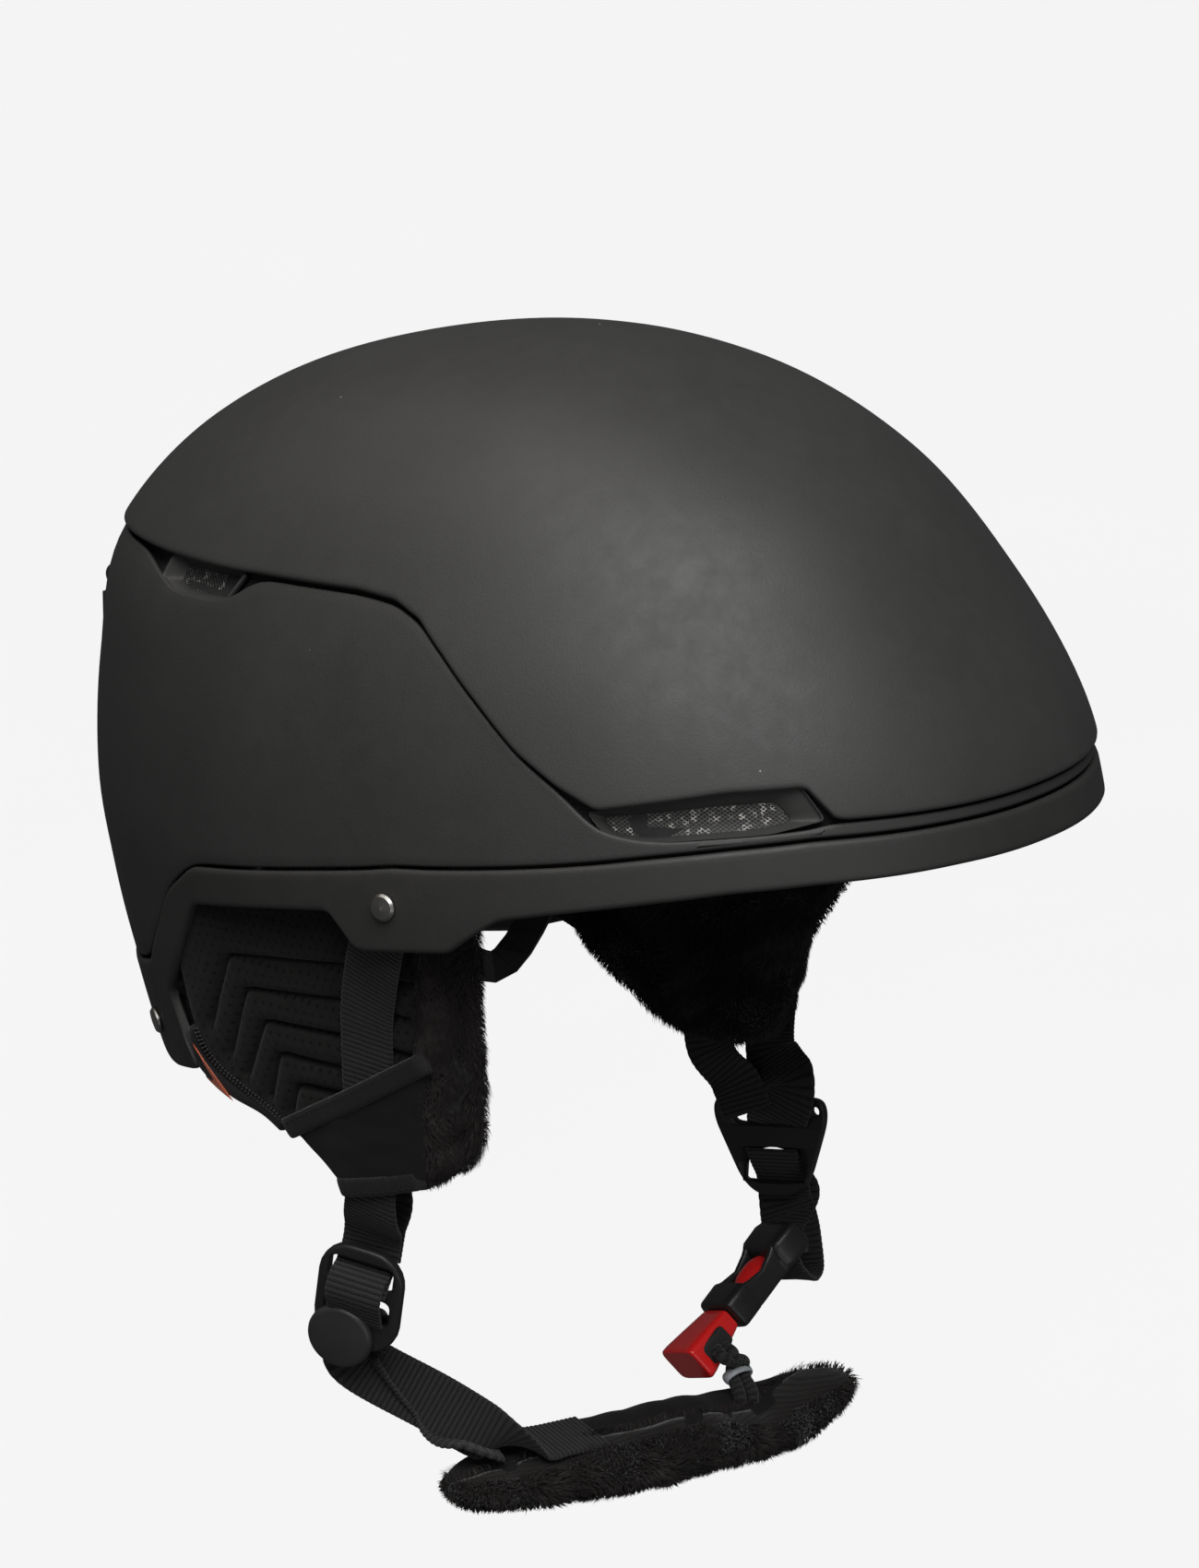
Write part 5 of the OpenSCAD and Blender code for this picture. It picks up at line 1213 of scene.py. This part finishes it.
def makeZip(side):
    # coil zip along the rear edge, the smooth binding outside it and the sewn tab
    word = "Right" if side < 0 else "Left"
    tag = word.lower()
    path = np.array([(45.2, -41.0), (42.6, -46.8), (38.0, -51.6), (31.5, -55.6), (25.0, -59.2),
                     (18.2, -63.8)], float)
    fine = splineAt(np.concatenate([path, np.zeros((len(path), 1))], 1), np.linspace(0, 1, 200))[:, :2]
    d = lengthAlong(fine)
    count = int(d[-1] / 1.05)
    bm = bmesh.new()
    for k in range(count):
        s = (k + 0.5) * d[-1] / count
        y, z = (np.interp(s, d, fine[:, j]) for j in (0, 1))
        ty, tz = (np.interp(s + 0.4, d, fine[:, j]) - np.interp(s - 0.4, d, fine[:, j]) for j in (0, 1))
        run = unit([ty, tz])
        for e in (-1, 1):
            at = padPoints(y - run[1] * 0.55 * e, z + run[0] * 0.55 * e, 0.15, side) / 1000
            runAxis = unit(padPoints(y + run[0], z + run[1], 0.15, side) - padPoints(y, z, 0.15, side))
            outAxis = unit(padPoints(y, z, 1.15, side) - padPoints(y, z, 0.15, side))
            crossAxis = np.cross(outAxis, runAxis)
            m = Matrix(((runAxis[0], crossAxis[0], outAxis[0], at[0]), (runAxis[1], crossAxis[1], outAxis[1], at[1]), (runAxis[2], crossAxis[2], outAxis[2], at[2]),
                        (0, 0, 0, 1)))
            bmesh.ops.create_icosphere(bm, subdivisions=1, radius=1,
                                       matrix=m @ Matrix.Diagonal((0.00036, 0.00062, 0.0005, 1)))
    mesh = bpy.data.meshes.new("zipCoil" + word)
    bm.to_mesh(mesh)
    bm.free()
    obj = newObject("zipCoil" + word, mesh)
    finishMesh(obj, nylonBlack)
    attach(obj, "helmet")
    # binding over the pad's rear edge
    n, m = 90, 16
    t = np.linspace(0, 1, n)
    edge = np.array([(46.9, -41.5), (46.4, -48), (43.8, -53.2), (36, -58.2), (26, -61.6), (19.4, -66)],
                    float)
    e = splineAt(np.concatenate([edge, np.zeros((len(edge), 1))], 1), t)[:, :2]
    run = unit(np.gradient(e, axis=0))
    inward = np.stack([run[:, 1], -run[:, 0]], -1)
    a = np.linspace(0, 2 * math.pi, m, endpoint=False)
    ease = np.minimum(1, np.minimum((t + 0.03) / 0.06, (1.03 - t) / 0.06))[:, None]
    w = 2.9 * np.cos(a)[None] * ease
    o = -2.4 + 3.0 * np.sin(a)[None] * ease
    flat = e[:, None] + inward[:, None] * (-0.9 - w)[..., None] * -1.0
    pts = padPoints(flat[..., 0], flat[..., 1], o, side)
    obj = surfaceObject("edgeBinding" + word, pts, satin, closedCols=True, capStart=pts[0].mean(0),
                        capEnd=pts[-1].mean(0))
    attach(obj, "helmet")
    # tab: a doubled tape folded over the binding
    n, m = 24, 9
    u, v, flat = patch([(47.2, -44.4), (44.0, -55.6), (34.4, -60.0), (45.0, -47.2)], n, m)
    lift = 0.75 - 1.5 * (1 - v) ** 2 + 0.1 * np.sin(u * 5)
    front = padPoints(flat[..., 0], flat[..., 1], lift + 0.25, side)
    back = padPoints(flat[..., 0], flat[..., 1], lift - 0.25, side)
    pts = np.concatenate([front, back[:, ::-1][:, 1:-1]], 1)
    obj = surfaceObject("sewnTab" + word, pts, tabOrange, closedCols=True, capStart=pts[0].mean(0),
                        capEnd=pts[-1].mean(0))
    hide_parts("ear_tab_" + tag)
    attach(obj, "helmet")


for side in (-1, 1):
    makeEarPad(side)
    makeFlap(side)
    makeZip(side)
print("ear pads made")

# chin pad
chinPad = {"halfLength": 68.0, "halfWidth": 14.6, "top": 5.4, "bottom": -6.0, "rise": 6.5, "hump": 2.6}


def chinPoints(s, around):
    # s from -1 to 1 along the pad, around in radians from the back (+Y) over the top
    s, around = np.broadcast_arrays(np.asarray(s, float), np.asarray(around, float))
    plan = (1 - np.clip(np.abs(s), 0, 1) ** 4.2) ** 0.5
    wide = (chinPad["halfWidth"] * (0.80 + 0.20 * np.cos(s * 1.35)) * plan)
    c, q = np.cos(around), np.sin(around)
    sq = lambda v, k: np.sign(v) * np.abs(v) ** k
    tall = np.where(q > 0, chinPad["top"], -chinPad["bottom"]) * plan ** 0.7
    x = s * chinPad["halfLength"]
    y = wide * sq(c, 0.82)
    z = tall * sq(q, 0.78) + chinPad["rise"] * np.clip(s - 0.35, 0, 1) ** 2 / 0.42 + 0.4 * np.sin(s * 9)
    z = z + chinPad["hump"] * np.exp(-((x + 8) / 31) ** 4 - (y / 11) ** 4) * (q > 0)
    return inFrame(chin["frame"], chin["at"], np.stack([x, y, z], -1))


def chinHalf(name, a0, a1, material, replaced, lump):
    # the top cover or the pile underside, each closed across the seam between them
    n, m = 130, 44
    s = np.sin(np.linspace(-1, 1, n) * math.pi / 2 * 0.985)
    turn = 1.15 * np.clip((s - 0.42) / 0.5, 0, 1) ** 1.5
    pile = a1 > 4
    first = a0 - turn * pile
    last = a1 - turn * (not pile)
    a = first[:, None] + np.linspace(0, 1, m)[None] * (last - first)[:, None]
    out = chinPoints(s[:, None], a)
    out = out + lump * np.stack([smoothNoise(out, 4.2, 41 + k) for k in range(3)], -1)
    inner = out[:, ::-1][:, 1:-1]
    mid = (out[:, :1] + out[:, -1:]) / 2
    k = np.linspace(0, 1, inner.shape[1])[None, :, None]
    flatLine = out[:, -1:] * (1 - k) + out[:, :1] * k
    sink = (mid - out.mean(1, keepdims=True)) * -0.02
    pts = np.concatenate([out, flatLine + sink], 1)
    obj = surfaceObject(name, pts, material, closedCols=True, capStart=pts[0].mean(0),
                        capEnd=pts[-1].mean(0))
    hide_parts(*replaced)
    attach(obj, "chin_pad")
    return obj


chinHalf("chinCover", math.radians(-8), math.radians(114), knit,
         ["chin_pad_cover", "chin_pad_sleeve"], 0.25)
underside = chinHalf("chinLining", math.radians(98), math.radians(352), plushBase,
                     ["chin_pad_lining"], 0.35)
makeFur("chinPile", underside, 34000, 3.0, 0.34, plush, (0.25, 0.1, -0.35), "chin_pad", seed=51,
        keep=lambda c, n: 1.0 * (n @ chin["frame"][2] < 0.93))
print("chin pad made")


# moulded pieces with softened edges
def softened(nodeName, material, body, width=0.5, segments=3, name=None, angle=32):
    # the node's own shape with small radii on its edges
    source = nodes[nodeName]
    mesh = source.data.copy()
    mesh.transform(source.matrix_world)
    obj = newObject(name or nodeName.title().replace("_", ""), mesh)
    bm = bmesh.new()
    bm.from_mesh(mesh)
    bmesh.ops.remove_doubles(bm, verts=bm.verts, dist=2e-6)
    bmesh.ops.dissolve_limit(bm, angle_limit=math.radians(1.5), verts=bm.verts, edges=bm.edges)
    bmesh.ops.recalc_face_normals(bm, faces=bm.faces)
    bm.to_mesh(mesh)
    bm.free()
    mesh.materials.clear()
    mesh.materials.append(material)
    mesh.shade_smooth()
    b = addModifier(obj, "BEVEL", width=width / 1000, segments=segments, limit_method="ANGLE",
                    angle_limit=math.radians(angle), harden_normals=True)
    b.miter_outer = "MITER_ARC"
    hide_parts(nodeName)
    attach(obj, body)
    return obj


capGrey = moulded("divider cap", (0.026, 0.0255, 0.025), rough=0.42, grain=0.03)
softened("divider_ring_right", dividerBlack, "divider_right", 1.1, 4)
softened("divider_cap_right", capGrey, "divider_right", 0.5, 3)


def loft(name, stations, frameAt, material, body, replaced=(), power=6.0, count=72):
    # rounded boxes at stations (z, half width, half height, rise), smoothly joined
    a = np.linspace(0, 2 * math.pi, count, endpoint=False)
    c, q = np.cos(a), np.sin(a)
    reach = (np.abs(c) ** power + np.abs(q) ** power) ** (-1 / power)
    c, q = c * reach, q * reach
    rows = [np.stack([w * c, h * q + up, np.full(count, z)], -1) for z, w, h, up in stations]
    pts = frameAt(np.stack(rows))
    obj = surfaceObject(name, pts, material, closedCols=True, capStart=pts[0].mean(0),
                        capEnd=pts[-1].mean(0))
    addModifier(obj, "BEVEL", width=0.0003, segments=2, limit_method="ANGLE",
                angle_limit=math.radians(40), harden_normals=True)
    if replaced:
        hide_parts(*replaced)
    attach(obj, body)
    return obj


def plateFromCurves(name, loops, thick, at, material, body, replaced, edge=0.6, dish=0.0):
    # a flat plate with holes, cut from closed outlines and given rounded edges
    curve = bpy.data.curves.new(name, "CURVE")
    curve.dimensions, curve.fill_mode = "2D", "BOTH"
    curve.extrude, curve.bevel_depth, curve.bevel_resolution = (thick / 2 - edge) / 1000, edge / 1000, 3
    curve.offset = -edge / 1000
    for loop in loops:
        line = curve.splines.new("POLY")
        line.points.add(len(loop) - 1)
        line.points.foreach_set("co", np.concatenate([loop / 1000, np.zeros((len(loop), 1)),
                np.ones((len(loop), 1))], 1).ravel())
        line.use_cyclic_u = True
    holder = newObject(name + "Outline", curve)
    mesh = bpy.data.meshes.new_from_object(holder.evaluated_get(bpy.context.evaluated_depsgraph_get()))
    bpy.data.objects.remove(holder)
    co = np.empty(len(mesh.vertices) * 3)
    mesh.vertices.foreach_get("co", co)
    co = co.reshape(-1, 3) * 1000
    co[:, 2] += dish * (co[:, 0] / 15) ** 2
    mesh.vertices.foreach_set("co", (at(co) / 1000).ravel())
    obj = newObject(name, mesh)
    finishMesh(obj, material, merge=1e-6)
    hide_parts(*replaced)
    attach(obj, body)
    return obj


def ellipseLoop(x, y, rx, ry, count=40, power=2.0):
    a = np.linspace(0, 2 * math.pi, count, endpoint=False)
    k = (np.abs(np.cos(a)) ** power + np.abs(np.sin(a)) ** power) ** (-1 / power)
    return np.stack([x + rx * k * np.cos(a), y + ry * k * np.sin(a)], -1)


def makePlate():
    outer = outlineLoop([(-17.2, -12), (17.2, -12), (17.6, -6), (10.5, 12), (6, 16.5), (-6, 16.5),
                         (-10.5, 12), (-17.6, -6)], 160, 3.4)
    mouth = outlineLoop([(-10.4, 12.6), (-9.6, 6.5), (-5.5, 2.8), (0, 1.6), (5.5, 2.8), (9.6, 6.5),
                         (10.4, 12.6), (0, 13.4)], 90, 1.0)
    slot = ellipseLoop(0, -6.4, 11.5, 2.2, power=5)
    holes = [ellipseLoop(s * 14.2, -8.4, 1.3, 1.3, 20) for s in (-1, 1)]
    at = lambda p: inFrame(leftDivider["frame"], leftDivider["at"], p)
    plateFromCurves("trianglePlate", [outer, mouth, slot] + holes, 2.8, at, dividerBlack,
                    "divider_left", ["divider_plate_left"], dish=-1.2)


tongueShape = {"middle": 16.2, "half": 6.7, "wide": 4.3, "tall": 2.9}


def makeBuckle():
    at = buckleAt
    loft("housingBar", [(-0.6, 7.6, 3.4, 0), (0.4, 8.6, 4.6, 0), (1.6, 8.8, 4.9, 0), (7.6, 8.6, 4.9, 0),
                        (9.0, 8.0, 4.5, -0.1), (10.0, 7.4, 3.4, -0.9)],
         at, buckleBlack, "helmet", ["buckle_housing"])
    loft("housingTray", [(9.0, 7.6, 3.0, -1.7), (11.0, 7.0, 2.3, -2.4), (16.0, 6.7, 1.9, -2.9),
                         (21.0, 6.9, 2.3, -2.4), (23.0, 7.2, 3.0, -1.7)],
         at, buckleBlack, "helmet")
    for s in (-1, 1):
        rail = lambda p, s=s: at(p + np.array([s * 6.1, 0, 0]))
        loft("housingRail", [(8.6, 1.1, 4.4, 0), (11, 1.0, 3.9, -0.6), (16, 0.95, 3.3, -1.2),
                             (21, 1.0, 3.9, -0.6), (23.4, 1.1, 4.4, 0)],
             rail, buckleBlack, "helmet", power=4)
    loft("housingMouth", [(22.4, 6.4, 3.6, 0), (22.9, 7.2, 4.8, 0), (23.6, 7.4, 5.0, 0),
                          (29.6, 7.4, 5.0, 0), (30.6, 7.2, 4.8, 0), (31.0, 6.7, 4.2, 0)],
         at, buckleBlack, "helmet")
    a = np.linspace(0, 2 * math.pi, 48, endpoint=False)
    rows = []
    for v in np.sin(np.linspace(-0.5, 0.5, 30) * math.pi):
        r = math.sqrt(max(1 - v * v, 0.0004)) ** 0.9
        z = tongueShape["middle"] + tongueShape["half"] * v
        w = tongueShape["wide"] * r
        ridge = 1 + 0.10 * np.exp(-(np.cos(a) / 0.35) ** 2) * (np.sin(a) > 0)
        rows.append(np.stack([w * np.cos(a), 0.4 + tongueShape["tall"] * r * np.sin(a) * ridge,
                              np.full(48, z)], -1))
    pts = at(np.stack(rows))
    tongue = surfaceObject("tongue", pts, buckleRed, closedCols=True, capStart=at([0, 0.4, 9.5]),
                           capEnd=at([0, 0.4, 22.9]))
    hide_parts("buckle_tongue")
    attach(tongue, "buckle_tongue")
    loft("insert", [(31.3, 4.6, 2.6, 0), (31.6, 5.3, 3.2, 0), (33, 5.5, 3.5, 0), (40, 6.4, 4.6, 0),
                    (46.5, 7.4, 5.5, 0), (48.4, 7.5, 5.6, 0), (49.0, 7.0, 5.1, 0)],
         at, buckleRed, "chin_pad", ["buckle_insert"], power=7)
    loft("insertArm", [(12.5, 1.4, 0.8, -0.4), (13.5, 1.9, 1.1, -0.4), (22, 1.9, 1.1, -0.4),
                       (24, 3.4, 1.3, -0.2), (32, 4.2, 1.6, 0)],
         at, buckleRed, "chin_pad")
    loft("mouthHole", [(30.3, 5.0, 2.7, 0), (31.05, 5.0, 2.7, 0)], at, rubberBlack,
         "helmet")
    # dark eye the cord comes out of
    eyeAt = lambda p: at(p + np.array([6.6, -0.5, 41.2]))
    loft("insertEye", [(-4.6, 0.9, 2.6, 0), (-3.6, 0.95, 3.1, 0), (3.6, 0.95, 3.3, 0),
                       (4.6, 0.9, 2.8, 0)], eyeAt, rubberBlack, "chin_pad", power=3)


cordShape = {"radius": 1.62, "braid": 0.16, "apart": 3.5}


def makeCord():
    # braided cord doubled through the insert, the keeper and the pad
    foot = onPad(0.24, 0)
    side = np.array([0.94, -0.34, 0.0])
    keeper = buckleAt([0, -7.5, 41.4]) * 0.42 + (foot + [0, 1, 5]) * 0.58 + [0.6, -0.6, 0.4]
    half = cordShape["apart"] / 2
    runs = []
    for s in (-1, 1):
        runs.append([buckleAt([7.5, -1.0 + s * 0.8, 41.5 + s * 1.2]),
                     buckleAt([10.4, -3.5 + s * 0.6, 42.6 + s * 1.4]),
                     keeper + side * half * s + [0, 0, 3.5],
                     keeper + side * half * s, foot + side * half * 1.2 * s + [0, 1, 2.5],
                     foot + side * half * 1.2 * s + [0, 1, -1.5]])
    runs.append([buckleAt([-6.5, -3.0, 42.5]), buckleAt([-10.6, -3.2, 40.5]),
                 buckleAt([-11.9, -2.6, 36.8]), buckleAt([-10.2, -2.8, 33.4]),
                 buckleAt([-6.0, -3.4, 32.6])])
    for k, route in enumerate(runs):
        fine = splineAt(route, np.linspace(0, 1, 400))
        d = lengthAlong(fine)
        n = int(d[-1] / 0.22)
        t = np.interp(np.linspace(0, d[-1], n), d, np.linspace(0, 1, 400))
        p = splineAt(route, t)
        run = unit(np.gradient(p, axis=0))
        w = unit(np.cross(run, [0.3, 0.2, 0.93]))
        h = np.cross(run, w)
        a = np.linspace(0, 2 * math.pi, 40, endpoint=False)[None]
        s = np.linspace(0, d[-1], n)[:, None]
        braid = np.maximum(np.sin(5 * a + s * 3.0), np.sin(5 * a - s * 3.0 + 0.6))
        r = cordShape["radius"] + cordShape["braid"] * braid
        pts = p[:, None] + r[..., None] * (np.cos(a)[..., None] * w[:, None] + np.sin(a)[..., None] * h[:,
                None])
        uv = np.stack([np.broadcast_to(s, r.shape), np.broadcast_to(a * 1.6, r.shape)], -1) / 1000
        obj = surfaceObject("cordStrand" + str(k), pts, webbingCloth, closedCols=True, uv=uv,
                            capStart=p[0], capEnd=p[-1])
        if k == 0:
            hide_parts("buckle_cord")
        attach(obj, "chin_pad")
    # keeper: a soft oval ring round both strands
    run = unit(foot + [0, 1, 5] - keeper)
    x = unit(side - (side @ run) * run)
    y = np.cross(run, x)
    a = np.linspace(0, 2 * math.pi, 64, endpoint=False)
    b = np.linspace(0, 2 * math.pi, 20, endpoint=False)
    ring = np.stack([(half + 2.4) * np.cos(a), 2.5 * np.sin(a)], -1)
    out = unit(np.stack([np.cos(a) / (half + 2.4), np.sin(a) / 2.5], -1))
    rr = ring[:, None] + out[:, None] * (0.55 * np.cos(b))[None, :, None]
    pts = keeper + rr[..., 0:1] * x + rr[..., 1:2] * y + (1.35 * np.sin(b))[None, :, None] * run
    obj = surfaceObject("keeper", pts, keeperRubber, closedRows=True, closedCols=True)
    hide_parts("cord_keeper")
    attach(obj, "chin_pad")


makePlate()
makeBuckle()
makeCord()
print("buckle and dividers made")


# comfort pads, and nodes with softened edges
padFill = {"voxel": 0.0034, "pressure": 4, "frames": 20, "most": 0.0011, "stiffness": 12}


def puffed(nodeName, name):
    # a fabric pad filled with foam: the node's own shape swollen a little
    source = nodes[nodeName]
    mesh = source.data.copy()
    mesh.transform(source.matrix_world)
    obj = newObject(name, mesh)
    finishMesh(obj, linerCloth, merge=2e-6)
    addModifier(obj, "REMESH", mode="VOXEL", voxel_size=padFill["voxel"], use_smooth_shade=True)
    bakeModifiers(obj)
    obj.data.materials.clear()
    obj.data.materials.append(linerCloth)
    start = np.empty(len(obj.data.vertices) * 3)
    obj.data.vertices.foreach_get("co", start)
    cloth = obj.modifiers.new("Cloth", "CLOTH")
    soft = cloth.settings
    soft.quality, soft.mass = 5, 0.15
    soft.tension_stiffness = soft.compression_stiffness = padFill["stiffness"]
    soft.shear_stiffness, soft.bending_stiffness = 4, 0.3
    soft.use_pressure, soft.uniform_pressure_force = True, padFill["pressure"]
    soft.effector_weights.gravity = 0
    cloth.point_cache.frame_start, cloth.point_cache.frame_end = 1, padFill["frames"]
    scene = bpy.context.scene
    for f in range(1, padFill["frames"] + 1):
        scene.frame_set(f)
    moved = obj.evaluated_get(bpy.context.evaluated_depsgraph_get()).data
    end = np.empty(len(moved.vertices) * 3)
    moved.vertices.foreach_get("co", end)
    obj.modifiers.remove(cloth)
    scene.frame_set(1)
    step = (end - start).reshape(-1, 3)
    size = np.linalg.norm(step, axis=1, keepdims=True)
    step *= np.minimum(1, padFill["most"] / np.maximum(size, 1e-9))
    obj.data.vertices.foreach_set("co", (start.reshape(-1, 3) + step).ravel())
    addModifier(obj, "SMOOTH", factor=0.6, iterations=4)
    subdivided(obj, 1)
    bakeModifiers(obj)
    obj.data.shade_smooth()
    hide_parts(nodeName)
    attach(obj, "helmet")
    return obj


def bakeModifiers(obj):
    mesh = bpy.data.meshes.new_from_object(obj.evaluated_get(bpy.context.evaluated_depsgraph_get()))
    obj.modifiers.clear()
    obj.data = mesh


for nodeName, name in (("crown_pad", "crownPads"), ("brow_pad", "browPad"), ("side_pads", "sidePads"),
                       ("nape_pad", "napePad")):
    puffed(nodeName, name)
for nodeName in ("goggle_clip_base", "goggle_clip_flap", "fit_dial"):
    softened(nodeName, rubberBlack if "base" not in nodeName else nylonBlack,
             {"goggle_clip_flap": "goggle_clip", "fit_dial": "fit_dial"}.get(nodeName, "helmet"), 0.45, 2)
print("pads softened")

# nodes that keep their own shape
plainFinish = {"foam_liner": foamBlack, "foam_crown": foamBlack, "fit_cradle": nylonBlack,
               "fit_housing": nylonBlack, "fit_housing_cover": nylonBlack, "dial_screw": steel,
               "fit_rack_left": nylonBlack, "fit_rack_right": nylonBlack, "ear_clips": nylonBlack,
               "rivet_washers": steel, "front_rivets": rivetSteel, "rear_rivets": rivetSteel,
               "goggle_clip_pin": steel, "goggle_clip_stud": steel}
for name, material in plainFinish.items():
    nodes[name].data.materials.clear()
    nodes[name].data.materials.append(material)
print("frame finished")
